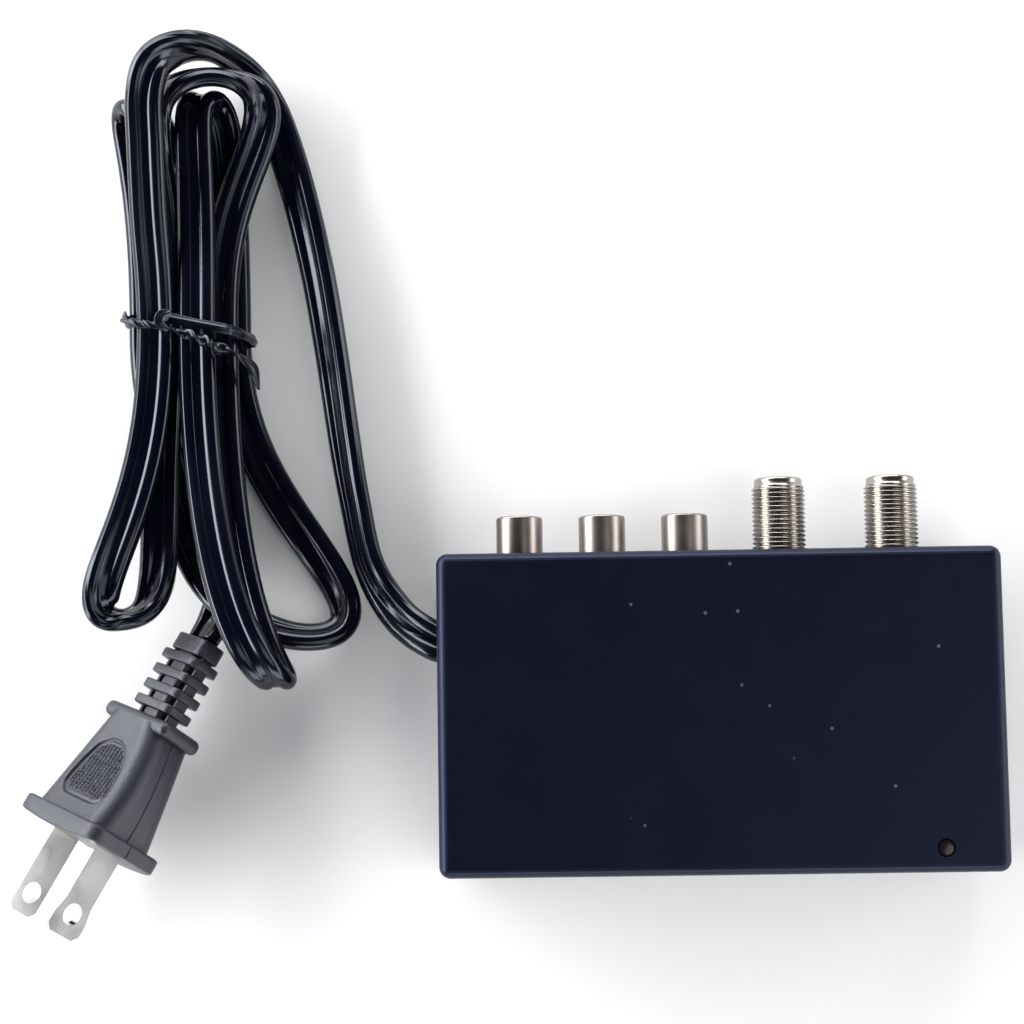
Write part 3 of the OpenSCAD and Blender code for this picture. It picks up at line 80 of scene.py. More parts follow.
def gridFaces(rings, points, steps):
    # quads of a grid whose rings close on themselves, each of the first steps rings joined to the next one;
    # the ring after the last one is the first
    i, j = np.meshgrid(np.arange(steps), np.arange(points), indexing="ij")
    nextRing, nextPoint = (i + 1) % rings * points, (j + 1) % points
    corners = [i * points + j, nextRing + j, nextRing + nextPoint, i * points + nextPoint]
    return np.stack(corners, -1).reshape(-1, 4)


def outward(flat, quads, fans):
    # faces turned outwards: the sum of a . (b x c) over the triangles has the sign of the volume inside
    triangles = np.vstack([quads[:, [0, 1, 2]], quads[:, [0, 2, 3]], fans])
    a, b, c = (flat[triangles[:, n]] - flat[0] for n in range(3))
    if (a * np.cross(b, c)).sum() < 0:
        quads, fans = quads[:, ::-1], fans[:, ::-1]
    return flat, quads, fans


def closedSweep(grid):
    # a tube through the grid's rings; a fan to the mean of the end ring closes each end
    rings, points = grid.shape[:2]
    flat = np.vstack([grid.reshape(-1, 3), grid[0].mean(0), grid[-1].mean(0)])
    edge = np.arange(points)
    after = (edge + 1) % points
    last, middle = (rings - 1) * points, rings * points
    front = np.stack([edge, after, np.full(points, middle)], -1)
    back = np.stack([last + after, last + edge, np.full(points, middle + 1)], -1)
    return outward(flat, gridFaces(rings, points, rings - 1), np.vstack([front, back]))


def ringShell(grid):
    # a tube through the grid's rings that runs round into itself, so it has no ends
    rings, points = grid.shape[:2]
    return outward(grid.reshape(-1, 3), gridFaces(rings, points, rings), np.zeros((0, 3), int))


def makePiece(name, shells, material, body="root", sharp=None, maps=None):
    # one smooth mesh object from closed shells in metres; edges over sharp degrees stay sharp,
    # and maps holds the (u, v) of the points of each shell
    points, faces, start = [], [], 0
    for flat, quads, fans in shells:
        points.append(flat)
        faces += (quads + start).tolist() + (fans + start).tolist()
        start += len(flat)
    mesh = bpy.data.meshes.new(name)
    mesh.from_pydata(np.vstack(points).tolist(), [], faces)
    if maps:
        layer = mesh.uv_layers.new(name="along")
        corner = np.empty(len(mesh.loops), np.int32)
        mesh.loops.foreach_get("vertex_index", corner)
        layer.data.foreach_set("uv", np.vstack(maps)[corner].astype(np.float32).ravel())
    mesh.polygons.foreach_set("use_smooth", np.full(len(mesh.polygons), True))
    mesh.update()
    if sharp:
        mesh.set_sharp_from_angle(angle=radians(sharp))
    mesh.materials.append(material)
    piece = bpy.data.objects.new(name, mesh)
    bpy.context.scene.collection.objects.link(piece)
    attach(piece, body)
    return piece


def addNode(tree, kind, inputs=None, **settings):
    # a node with its settings; an input is a value or another node's output
    made = tree.nodes.new(kind)
    for key, value in settings.items():
        setattr(made, key, value)
    for key, value in (inputs or {}).items():
        if isinstance(value, bpy.types.NodeSocket):
            tree.links.new(value, made.inputs[key])
        else:
            made.inputs[key].default_value = value
    return made


def newGroup(name, inputs, outputs):
    # an empty shader group with named sockets
    tree = bpy.data.node_groups.new(name, "ShaderNodeTree")
    for key, (kind, value) in inputs.items():
        socket = tree.interface.new_socket(key, in_out="INPUT", socket_type="NodeSocket" + kind)
        socket.default_value = value
    for key, kind in outputs.items():
        tree.interface.new_socket(key, in_out="OUTPUT", socket_type="NodeSocket" + kind)
    return tree, tree.nodes.new("NodeGroupInput"), tree.nodes.new("NodeGroupOutput")


def fillGroup(tree, group, inputs):
    # a group's node with its inputs filled
    return addNode(tree, "ShaderNodeGroup", inputs, node_tree=group)


skin = {
    "driftRange": (0.35, 0.65),  # the noise at which the first tone begins to turn, and the second is full
    "driftSize": 0.012,  # metres
    "speckRange": (0.06, 0.02),  # share of a cell at which a speck ends, and where it is full
    "speckSize": 0.0065,  # metres, one cell
    "speckTone": (0.14, 0.14, 0.15),
    "specks": {"casePlastic": 0.6},  # how strongly a finish shows them
    "cloudLift": 1.15, "cloudSize": 0.003,  # in the clear finishes
}


def grainGroup():
    # moulded or drawn skin: a noise with the scale 1 / size, raised by depth as a bump
    tree, into, out = newGroup("mouldedGrain", {
        "Size": ("Float", 0.0004), "Depth": ("Float", 0.00002), "Strength": ("Float", 1.0),
    }, {"Normal": "Vector"})
    place = addNode(tree, "ShaderNodeTexCoord")
    scale = addNode(tree, "ShaderNodeMath", {0: 1.0, 1: into.outputs["Size"]}, operation="DIVIDE")
    fine = addNode(tree, "ShaderNodeTexNoise", {
        "Vector": place.outputs["Object"], "Scale": scale.outputs[0], "Detail": 3.0, "Roughness": 0.6})
    bump = addNode(tree, "ShaderNodeBump", {
        "Height": fine.outputs["Fac"], "Distance": into.outputs["Depth"],
        "Strength": into.outputs["Strength"]})
    tree.links.new(bump.outputs[0], out.inputs["Normal"])
    return tree


def toneGroup():
    # slow drift of the colour between two tones by a noise, with rare specks of a third,
    # which lie where the distance to the middle of a Voronoi cell is small
    tree, into, out = newGroup("toneDrift", {
        "Tone A": ("Color", (0, 0, 0, 1)), "Tone B": ("Color", (1, 1, 1, 1)), "Size": ("Float", 0.01),
        "Speck": ("Color", (1, 1, 1, 1)), "Speck Size": ("Float", 0.004), "Specks": ("Float", 0.0),
    }, {"Color": "Color", "Mask": "Float"})
    place = addNode(tree, "ShaderNodeTexCoord")
    scale = addNode(tree, "ShaderNodeMath", {0: 1.0, 1: into.outputs["Size"]}, operation="DIVIDE")
    drift = addNode(tree, "ShaderNodeTexNoise", {
        "Vector": place.outputs["Object"], "Scale": scale.outputs[0], "Detail": 4.0, "Roughness": 0.55})
    wide = addNode(tree, "ShaderNodeMapRange", {
        "Value": drift.outputs["Fac"], "From Min": skin["driftRange"][0], "From Max": skin["driftRange"][1]})
    tones = addNode(tree, "ShaderNodeMix", {
        0: wide.outputs[0], 6: into.outputs["Tone A"], 7: into.outputs["Tone B"]}, data_type="RGBA")
    cells = addNode(tree, "ShaderNodeMath", {0: 1.0, 1: into.outputs["Speck Size"]}, operation="DIVIDE")
    dots = addNode(tree, "ShaderNodeTexVoronoi", {
        "Vector": place.outputs["Object"], "Scale": cells.outputs[0]})
    near = addNode(tree, "ShaderNodeMapRange", {
        "Value": dots.outputs["Distance"],
        "From Min": skin["speckRange"][0], "From Max": skin["speckRange"][1]})
    amount = addNode(tree, "ShaderNodeMath", {
        0: near.outputs[0], 1: into.outputs["Specks"]}, operation="MULTIPLY")
    final = addNode(tree, "ShaderNodeMix", {
        0: amount.outputs[0], 6: tones.outputs[2], 7: into.outputs["Speck"]}, data_type="RGBA")
    tree.links.new(final.outputs[2], out.inputs["Color"])
    tree.links.new(wide.outputs[0], out.inputs["Mask"])
    return tree


mouldedGrain = grainGroup()
toneDrift = toneGroup()


def newMaterial(name):
    # a material with nothing but a Principled shader on its surface
    material = bpy.data.materials.new(name)
    material.use_nodes = True
    tree = material.node_tree
    tree.nodes.clear()
    out = tree.nodes.new("ShaderNodeOutputMaterial")
    shader = tree.nodes.new("ShaderNodeBsdfPrincipled")
    tree.links.new(shader.outputs[0], out.inputs["Surface"])
    return material, tree, shader


finishes = {
    # name: tone A, tone B, roughness low and high, metallic, grain size mm, grain depth mm
    "casePlastic": ((0.0016, 0.0021, 0.0062), (0.0019, 0.0025, 0.0070), (0.36, 0.39), 0, 0.45, 0.016),
    "panelPlastic": ((0.004, 0.0045, 0.008), (0.006, 0.0065, 0.011), (0.42, 0.52), 0, 0.5, 0.012),
    "screwSteel": ((0.30, 0.29, 0.28), (0.42, 0.41, 0.39), (0.25, 0.4), 1, 0.6, 0.004),
    "footRubber": ((0.011, 0.011, 0.011), (0.019, 0.019, 0.019), (0.75, 0.9), 0, 0.5, 0.02),
    "nickel": ((0.33, 0.30, 0.27), (0.40, 0.37, 0.34), (0.22, 0.3), 1, 0.5, 0.002),
    "sleeveNickel": ((0.24, 0.21, 0.19), (0.29, 0.26, 0.24), (0.30, 0.38), 1, 0.5, 0.002),
    "bladeNickel": ((0.56, 0.55, 0.53), (0.62, 0.61, 0.59), (0.08, 0.13), 1, 0.5, 0.0005),
    "yellowPlastic": ((0.82, 0.56, 0.02), (0.88, 0.63, 0.04), (0.3, 0.4), 0, 0.8, 0.006),
    "whitePlastic": ((0.80, 0.79, 0.75), (0.86, 0.85, 0.82), (0.3, 0.4), 0, 0.8, 0.006),
    "redPlastic": ((0.55, 0.015, 0.012), (0.64, 0.025, 0.02), (0.3, 0.4), 0, 0.8, 0.006),
    "contactBrass": ((0.62, 0.43, 0.15), (0.75, 0.56, 0.25), (0.22, 0.34), 1, 0.6, 0.003),
    "tinplate": ((0.55, 0.56, 0.57), (0.68, 0.69, 0.70), (0.28, 0.42), 1, 0.9, 0.004),
    "board": ((0.19, 0.12, 0.045), (0.25, 0.16, 0.065), (0.5, 0.62), 0, 0.35, 0.008),
    "naturalPlastic": ((0.66, 0.62, 0.50), (0.74, 0.70, 0.58), (0.4, 0.5), 0, 0.7, 0.008),
    "copper": ((0.55, 0.20, 0.09), (0.70, 0.28, 0.13), (0.25, 0.36), 1, 0.25, 0.01),
    "ferrite": ((0.020, 0.020, 0.021), (0.036, 0.035, 0.034), (0.55, 0.7), 0, 0.3, 0.01),
    "blackPlastic": ((0.012, 0.012, 0.013), (0.018, 0.018, 0.019), (0.38, 0.5), 0, 0.4, 0.01),
    "coreSteel": ((0.12, 0.12, 0.125), (0.2, 0.2, 0.205), (0.4, 0.55), 1, 0.6, 0.008),
    "windingTape": ((0.70, 0.52, 0.10), (0.78, 0.60, 0.16), (0.3, 0.42), 0, 1.2, 0.02),
    "capacitorSleeve": ((0.012, 0.016, 0.05), (0.018, 0.024, 0.07), (0.22, 0.32), 0, 0.9, 0.006),
    "resistorPaint": ((0.60, 0.45, 0.27), (0.68, 0.53, 0.34), (0.35, 0.5), 0, 0.4, 0.01),
    "plugVinyl": ((0.006, 0.008, 0.015), (0.009, 0.012, 0.020), (0.31, 0.37), 0, 0.30, 0.11),
    "tieVinyl": ((0.002, 0.0025, 0.005), (0.003, 0.0036, 0.0065), (0.22, 0.3), 0, 0.6, 0.012),
}

# how strongly a finish mirrors, and the tint of what it mirrors
sheens = {
    "casePlastic": (0.32, (0.45, 0.55, 1.0)),
    "panelPlastic": (0.4, (0.6, 0.7, 1.0)),
    "plugVinyl": (0.55, (0.93, 0.95, 1.0)),
    "tieVinyl": (0.45, (0.7, 0.8, 1.0)),
}

clearFinishes = {
    # name: colour, index of refraction, roughness, share of the light that goes through
    "lampEpoxy": ((0.006, 0.004, 0.006), 1.45, 0.2, 0.0),
    "fuseGlass": ((0.93, 0.96, 0.95), 1.46, 0.05, 0.9),
}


def plainFinish(name):
    # drifting colour, drifting roughness and a moulded or drawn skin
    toneA, toneB, rough, metallic, grainSize, grainDepth = finishes[name]
    material, tree, shader = newMaterial(name)
    tone = fillGroup(tree, toneDrift, {
        "Tone A": (*toneA, 1), "Tone B": (*toneB, 1), "Size": skin["driftSize"],
        "Speck": (*skin["speckTone"], 1), "Speck Size": skin["speckSize"],
        "Specks": skin["specks"].get(name, 0.0)})
    gloss = addNode(tree, "ShaderNodeMapRange", {
        "Value": tone.outputs["Mask"], "To Min": rough[0], "To Max": rough[1]})
    grain = fillGroup(tree, mouldedGrain, {"Size": grainSize * mm, "Depth": grainDepth * mm})
    tree.links.new(tone.outputs["Color"], shader.inputs["Base Color"])
    tree.links.new(gloss.outputs[0], shader.inputs["Roughness"])
    tree.links.new(grain.outputs["Normal"], shader.inputs["Normal"])
    shader.inputs["Metallic"].default_value = metallic
    if name in sheens:
        mirror, tint = sheens[name]
        shader.inputs["Specular IOR Level"].default_value = mirror
        shader.inputs["Specular Tint"].default_value = (*tint, 1)
    return material


def clearFinish(name):
    # glass or clear resin with a faint cloud in it: the cloud is the colour times cloudLift, at most 1
    colour, ior, roughness, through = clearFinishes[name]
    material, tree, shader = newMaterial(name)
    cloud = [min(1, c * skin["cloudLift"]) for c in colour]
    tone = fillGroup(tree, toneDrift, {
        "Tone A": (*colour, 1), "Tone B": (*cloud, 1), "Size": skin["cloudSize"]})
    tree.links.new(tone.outputs["Color"], shader.inputs["Base Color"])
    shader.inputs["Roughness"].default_value = roughness
    shader.inputs["IOR"].default_value = ior
    shader.inputs["Transmission Weight"].default_value = through
    return material


vinyl = {
    "tones": ((0.0010, 0.0016, 0.0048), (0.0018, 0.0026, 0.0068)),
    "toneSize": 0.02,  # metres
    "gloss": (0.12, 0.2),  # roughness, low and high
    "mirror": 0.42, "tint": (0.8, 0.87, 1),
    "lineScale": (60.0, 1.2, 1.0),  # draw lines around and along the cord's map
    "lineDepth": 0.00003,  # metres
    "lineStrength": 0.5,
}


def cordFinish():
    # glossy vinyl: faint draw lines run along the cord, a noise on its own map, stretched lengthwise
    material, tree, shader = newMaterial("cordVinyl")
    along = addNode(tree, "ShaderNodeUVMap", uv_map="along")
    stretched = addNode(tree, "ShaderNodeMapping", {"Vector": along.outputs[0], "Scale": vinyl["lineScale"]})
    drawn = addNode(tree, "ShaderNodeTexNoise", {
        "Vector": stretched.outputs[0], "Scale": 1.0, "Detail": 2.0})
    bump = addNode(tree, "ShaderNodeBump", {
        "Height": drawn.outputs["Fac"], "Distance": vinyl["lineDepth"], "Strength": vinyl["lineStrength"]})
    toneA, toneB = vinyl["tones"]
    tone = fillGroup(tree, toneDrift, {
        "Tone A": (*toneA, 1), "Tone B": (*toneB, 1), "Size": vinyl["toneSize"]})
    gloss = addNode(tree, "ShaderNodeMapRange", {
        "Value": tone.outputs["Mask"], "To Min": vinyl["gloss"][0], "To Max": vinyl["gloss"][1]})
    shader.inputs["Specular IOR Level"].default_value = vinyl["mirror"]
    shader.inputs["Specular Tint"].default_value = (*vinyl["tint"], 1)
    tree.links.new(tone.outputs["Color"], shader.inputs["Base Color"])
    tree.links.new(gloss.outputs[0], shader.inputs["Roughness"])
    tree.links.new(bump.outputs[0], shader.inputs["Normal"])
    return material


# every finish by its name
paint = {name: plainFinish(name) for name in finishes}
paint.update({name: clearFinish(name) for name in clearFinishes})
paint["cordVinyl"] = cordFinish()
print("materials made")


cord = {
    "width": 7.0, "thickness": 3.3,  # mm, over both cores and over one
    "webHalf": 1.22,  # half the thickness between the cores
    "splitHalf": 0.25,  # the same where the cores lie apart, beside the case
    "splitStart": 3, "splitLength": 9.0,  # where the web begins to close, and where it is full
    "ribs": 7, "ribHeight": 0.07,  # raised lines on one core
    "ribReach": 1.9,  # radians from its middle
    "coreSteps": 37, "webShares": (0.5, 0, -0.5),  # points of the section
    "length": 0.928,  # metres
    "mapLength": 100,  # mm of cord to one unit of its map
    "exit": (-47, 6.5, 11),
    # x, y, z and roll in degrees
    "lead": [
        (-47, 6.5, 11, 0), (-50, 6.7, 10.9, 0), (-56.5, 11.5, 8, 20), (-62, 20.5, 5, 45),
        (-64.8, 33, 4.5, 45), (-66.6, 44, 4.5, 40), (-69, 61, 4.3, 35), (-71.5, 76, 4.2, 30),
        (-75, 91, 3.2, 20), (-78.4, 102, 2.3, 8), (-81, 108.5, 2.6, 20), (-84.5, 114, 4.6, 60),
        (-89.5, 117, 8.5, 80), (-95, 116.4, 13, 65), (-99.6, 112.6, 17, 25), (-101.4, 106.5, 17.2, 5),
        (-101.4, 97, 15.8, 0), (-101.2, 85, 13.4, 0), (-100.7, 74, 11, 0), (-100.5, 65, 9.8, 0)],
    "tail": [
        (-95.5, 65, 2, 0), (-94, 50, 2, 0), (-91, 36, 2, 0), (-89.3, 25, 2, 0), (-89, 18.8, 2.1, 0),
        (-89.5, 14.6, 2.9, 10), (-90.7, 11, 4.7, 31), (-92.5, 7.5, 6.5, 46)],
    "waist": (-96, 65),  # x and y where the tie holds the hank
    # x from the waist and height of each pass through it
    "lanes": [(-4.5, 9.8), (-3.5, 5.9), (6.6, 5.9), (3, 9.9), (8.4, 2), (-7.3, 2), (0.5, 2)],
    # side, length, lean, width, rise, slant, bluntness, roll, flat hold, hump, power of the roll
    "loops": [
        (-1, 53.5, -6.8, -8.4, 2.1, 1.5, 0.035, 75, 0, 3, 8),
        (1, 46, 5, -14.5, 6, 3.2, 0, 70, 0, 0, 8),
        (-1, 65, 13, 0, 5.5, -3.6, 0.055, 0, -1, 5, 8),
        (1, 42.5, -1.4, -1.5, 2.5, 2, 0.055, 0, -1, 0, 8),
        (-1, 57, 22.5, 14.5, 4.7, -4.2, -0.01, -60, 0, 0, 4),
        (1, 42, -6, -1.5, 3.6, -5, 0.05, 0, 1, 0, 8)],
    "swell": 0.77,  # share of a loop's width and slant by which its legs swing apart
    "legSteps": 9, "loopSteps": 84,
}


def smoothRoute(points, steps):
    # cubic through the points: at share u between b and c it is
    # (2b + (c-a)u + (2a-5b+4c-d)u^2 + (3b-a-3c+d)u^3) / 2
    p = np.array(points, float)
    p = np.vstack([2 * p[0] - p[1], p, 2 * p[-1] - p[-2]])
    a, b, c, d = (q[:, None, :] for q in (p[:-3], p[1:-2], p[2:-1], p[3:]))
    u = (np.arange(steps) / steps)[None, :, None]
    square, cube = 2 * a - 5 * b + 4 * c - d, 3 * b - a - 3 * c + d
    curve = (2 * b + (c - a) * u + square * u ** 2 + cube * u ** 3) / 2
    return np.vstack([curve.reshape(-1, p.shape[1]), p[-2]])


def loopPath(row, a, b):
    # one loop of the hank: y swings out and back as a sine, x and z slide from lane a to lane b,
    # lean out at the far end and swell on the way
    side, length, lean, width, rise, slant, blunt, roll, hold, hump, power = row
    t = np.arange(cord["loopSteps"]) / cord["loopSteps"]
    out, twice = np.sin(pi * t), np.sin(2 * pi * t)
    mix = ease(0, 1, t)
    swell = cord["swell"] * twice * out ** 2
    x = cord["waist"][0] + a[0] + (b[0] - a[0]) * mix + lean * out ** 2 + width * swell
    y = cord["waist"][1] + side * length * (out + blunt * np.sin(3 * pi * t)) / (1 - blunt)
    z = a[1] + (b[1] - a[1]) * mix + rise * out ** 2 + slant * swell + hump * twice ** 2
    return np.stack([x, y, z], -1), roll * out ** power, np.full(len(t), hold)


def cordPath():
    # centre line of the whole cord, its heading and the direction of its width at each point: the width
    # is cos(roll) * level + sin(roll) * up, with level to the right of the heading, and to its left on the
    # tail, or along x where a loop holds it flat; it never jumps over between two points
    lead = smoothRoute(cord["lead"], cord["legSteps"])[:-1]
    tail = smoothRoute(cord["tail"], cord["legSteps"])
    centres, rolls = [lead[:, :3]], [lead[:, 3]]
    holds, senses = [np.zeros(len(lead))], [np.ones(len(lead))]
    for n, row in enumerate(cord["loops"]):
        centre, roll, hold = loopPath(row, cord["lanes"][n], cord["lanes"][n + 1])
        centres.append(centre)
        rolls.append(roll)
        holds.append(hold)
        senses.append(np.ones(len(centre)))
    centres, rolls = np.vstack(centres + [tail[:, :3]]), np.concatenate(rolls + [tail[:, 3]])
    holds = np.concatenate(holds + [np.zeros(len(tail))])
    senses = np.concatenate(senses + [-np.ones(len(tail))])
    heads = unit(np.gradient(centres, axis=0))
    heads[0] = (-1, 0, 0)  # straight out of the case
    level = unit(np.cross(heads, up))
    angle = np.radians(rolls)
    rolled = (senses * np.cos(angle))[:, None] * level + np.sin(angle)[:, None] * up
    held = np.stack([holds, 0 * holds, 0 * holds], -1)
    wide = squareTo(np.where(holds[:, None] != 0, held, rolled), heads)
    jumps = (wide[1:] * wide[:-1]).sum(-1) < 0
    flips = np.cumprod(np.concatenate([[1], np.where(jumps, -1, 1)]))
    return centres, heads, wide * flips[:, None]


def cordSection(webHalf):
    # flat twin section: two round cores joined by a web; one core carries raised lines.
    # One row of points for each value of webHalf
    core = cord["thickness"] / 2
    offset = cord["width"] / 2 - core
    w = webHalf[:, None]
    limit = pi - np.arcsin(w / core)
    angle = np.linspace(-1, 1, cord["coreSteps"])[None, :] * limit
    wave = np.cos(angle * cord["ribs"] * pi / cord["ribReach"]) - 1
    ribs = np.where(np.abs(angle) < cord["ribReach"], wave, 0) * cord["ribHeight"] / 2
    right = np.stack([offset + (core + ribs) * np.cos(angle), (core + ribs) * np.sin(angle)], -1)
    left = np.stack([-offset - core * np.cos(angle), -core * np.sin(angle)], -1)
    inner = offset - np.sqrt(core ** 2 - w ** 2)
    between = np.array(cord["webShares"])[None, :]
    top = np.stack([inner * between, w + 0 * between], -1)
    bottom = np.stack([-inner * between, -w + 0 * between], -1)
    return np.concatenate([right, top, left, bottom], 1)


def cordShell(centres, heads, wide, walked):
    # the section carried along the run: its point (s, t) lies at centre + s * wide + t * (head x wide);
    # the map holds the share around the section and the length walked
    split = ease(cord["splitStart"], cord["splitLength"], walked)
    section = cordSection(cord["splitHalf"] + (cord["webHalf"] - cord["splitHalf"]) * split)
    thick = np.cross(heads, wide)
    grid = centres[:, None] + section[..., :1] * wide[:, None] + section[..., 1:] * thick[:, None]
    around, along = np.meshgrid(np.linspace(0, 1, section.shape[1]), walked / cord["mapLength"])
    ends = [[0, 0], [0, walked[-1] / cord["mapLength"]]]
    return closedSweep(grid * mm), np.vstack([np.stack([around, along], -1).reshape(-1, 2), ends])


centres, heads, wide = cordPath()
walked = np.concatenate([[0], np.cumsum(np.linalg.norm(np.diff(centres, axis=0), axis=1))])
print("cord length", round(walked[-1], 1), "mm in", len(centres), "rings")
cordSkin, cordMap = cordShell(centres, heads, wide, walked)
mainsCord = makePiece("mainsCord", [cordSkin], paint["cordVinyl"], maps=[cordMap])
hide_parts("cord_lead", "cord_hank", "cord_tail")
print("cord made")


plug = {
    "back": (-92.5, 7.5, 6.5), "length": 41.5,  # mm, from the collar's back to the face
    "turn": 240.8, "lift": 10, "roll": 41.6,  # degrees
    # at the back, in the middle and at the front
    "gripWidth": (14, 19.2, 19.8), "gripHeight": (11, 11.4, 15.5),
    "gripSpan": (-23.5, -1.65), "gripRound": 3.5,
    # width, height, corner and thickness
    "face": (23.5, 17.4, 3.0, 3.3), "faceEdge": 0.6,
    "faceBulge": 0.8, "faceMeanShare": 0.3,
    # width, height and corner
    "stop": (18.2, 10, 1.4), "stopSpan": (-24.9, -22.1), "stopEdge": 1.2,
    "bar": (4.6, 4.4, 1.0), "rail": (0.9, 2.8, 0.35), "railPlace": 3.9,
    "rib": (11, 6.8, 1.7), "ribThick": 1.7, "ribEdge": 0.3, "ribs": 4, "ribPitch": 3.2,
    "ribTwist": 0.8,  # degrees from rib to rib
    "collar": (9.5, 5.6, 1.6), "collarSpan": (-41.5, -38.2), "collarEdge": 0.45,
    "overlap": 1,  # the bar and the rails into the stop and the collar
    "padSpan": (-18.4, -6.1), "padWidth": (6.0, 11.4, 11.8), "padCorner": 2.6,
    "padDepth": 0.55, "padRim": 0.4,
    "padFadeShare": (0.2, 0.95),  # sine of the turn round the grip's edge, where the pad sets in and is full
    "ridgePlace": 0.75, "ridgeWidth": 0.22, "ridgeHeight": 0.2,  # raised line round the dots
    "dotField": (1.0, 1.2),  # inside the pad's edge, where the dots set in and are full
    "dotPitch": (0.92, 0.72), "dotHeight": 0.42, "dotRound": 0.17, "dotBaseShare": 0.35,
    "seamWidth": 0.15, "seamDepth": 0.16, "seamShare": (0.05, 0.035, 0.02, 0.01),
    # points of a ring: along its width, along its height and round a corner
    "gripPoints": (116, 14, 9), "facePoints": (24, 18, 8), "smallPoints": (10, 6, 6),
    "gripRings": 132, "reliefRings": 12, "edgeRings": 5,
    "leastRound": 0.2,  # of a plate's corners at its rims
}


def plugFrame():
    # the plug's own x, y and z, and the place of its face at back + length * z: z points out of the face,
    # x from blade to blade is cos(roll) * side + sin(roll) * upward, and y is the cross product of z and x
    turn, lift, roll = (radians(plug[k]) for k in ("turn", "lift", "roll"))
    z = np.array([np.cos(lift) * np.cos(turn), np.cos(lift) * np.sin(turn), np.sin(lift)])
    side = np.array([-np.sin(turn), np.cos(turn), 0])
    upward = np.cross(z, side)
    x = np.cos(roll) * side + np.sin(roll) * upward
    return np.stack([x, np.cross(z, x), z]), np.array(plug["back"]) + plug["length"] * z


plugAxes, plugFace = plugFrame()


def inPlug(points):
    # from the plug's own frame to the row frame, in mm
    return points @ plugAxes + plugFace


def ringTemplate(across, down, corner, seam=False):
    # a rounded rectangle as (centre share, direction of the rounding): four sides and four quarter turns;
    # with a seam the points of the two narrow sides crowd at their middle
    rows = []
    near = np.array(plug["seamShare"])
    for n, (cx, cy) in enumerate([(1, 1), (-1, 1), (-1, -1), (1, -1)]):
        turn = np.linspace(0, pi / 2, corner + 1) + n * pi / 2
        steady = np.ones(len(turn))
        rows.append(np.stack([steady * cx, steady * cy, np.cos(turn), np.sin(turn)], -1))
        share = np.linspace(1, -1, (down if n % 2 else across) + 1)[1:-1]
        if n % 2 and seam:
            outer = share[share > near[0]]
            share = np.concatenate([outer, near, [0], -near[::-1], -outer[::-1]])
        steady = np.ones(len(share))
        side = [steady * cx, share * cy] if n % 2 else [share * cx, steady * cy]
        end = (n + 1) * pi / 2
        rows.append(np.stack([*side, steady * np.cos(end), steady * np.sin(end)], -1))
    return np.vstack(rows)


def cutSeam(grid):
    # the mould's parting line: a shallow round groove where y is 0, depth * (1 - (y / width)^2)
    near = np.clip(1 - (grid[..., 1] / plug["seamWidth"]) ** 2, 0, 1)
    grid[..., 0] -= np.sign(grid[..., 0]) * plug["seamDepth"] * near
    return grid


def roundedLoft(width, height, radius, z, template):
    # rings of rounded rectangles along z: centre share * (size / 2 - radius) + direction * radius
    shape = (len(z), len(template))
    columns = [np.reshape(v, (-1, 1)) for v in (width, height, radius, z)]
    width, height, radius, z = (np.broadcast_to(column, shape) for column in columns)
    x = template[:, 0] * (width / 2 - radius) + template[:, 2] * radius
    y = template[:, 1] * (height / 2 - radius) + template[:, 3] * radius
    return np.stack([x, y, z], -1)


def roundedPlate(width, height, radius, low, high, edge, template):
    # a plate with rounded rims: over a quarter turn the rings draw in by edge * (1 - sin)
    # while z runs by edge * (1 - cos)
    turn = np.linspace(0, pi / 2, plug["edgeRings"])
    draw = edge * (1 - np.sin(turn))
    z = np.concatenate([low + edge * (1 - np.cos(turn)), high - edge * (1 - np.cos(turn[::-1]))])
    inset = np.concatenate([draw, draw[::-1]])
    radii = np.maximum(radius - inset, plug["leastRound"])
    return roundedLoft(width - 2 * inset, height - 2 * inset, radii, z, template)


def quadratic(values, share):
    # through the three values at shares 0, 1/2 and 1
    a, b, c = values
    return a * (1 - share) * (1 - 2 * share) + 4 * b * share * (1 - share) + c * share * (2 * share - 1)


def dotRelief(x, z):
    # rows of fine dots: sqrt(1 - r^2 / dotRound) over r, the distance in pitches to the nearest dot's middle
    pitchX, pitchZ = plug["dotPitch"]
    dx = x / pitchX - np.round(x / pitchX)
    dz = z / pitchZ - np.round(z / pitchZ)
    return np.sqrt(np.clip(1 - (dx ** 2 + dz ** 2) / plug["dotRound"], 0, 1))


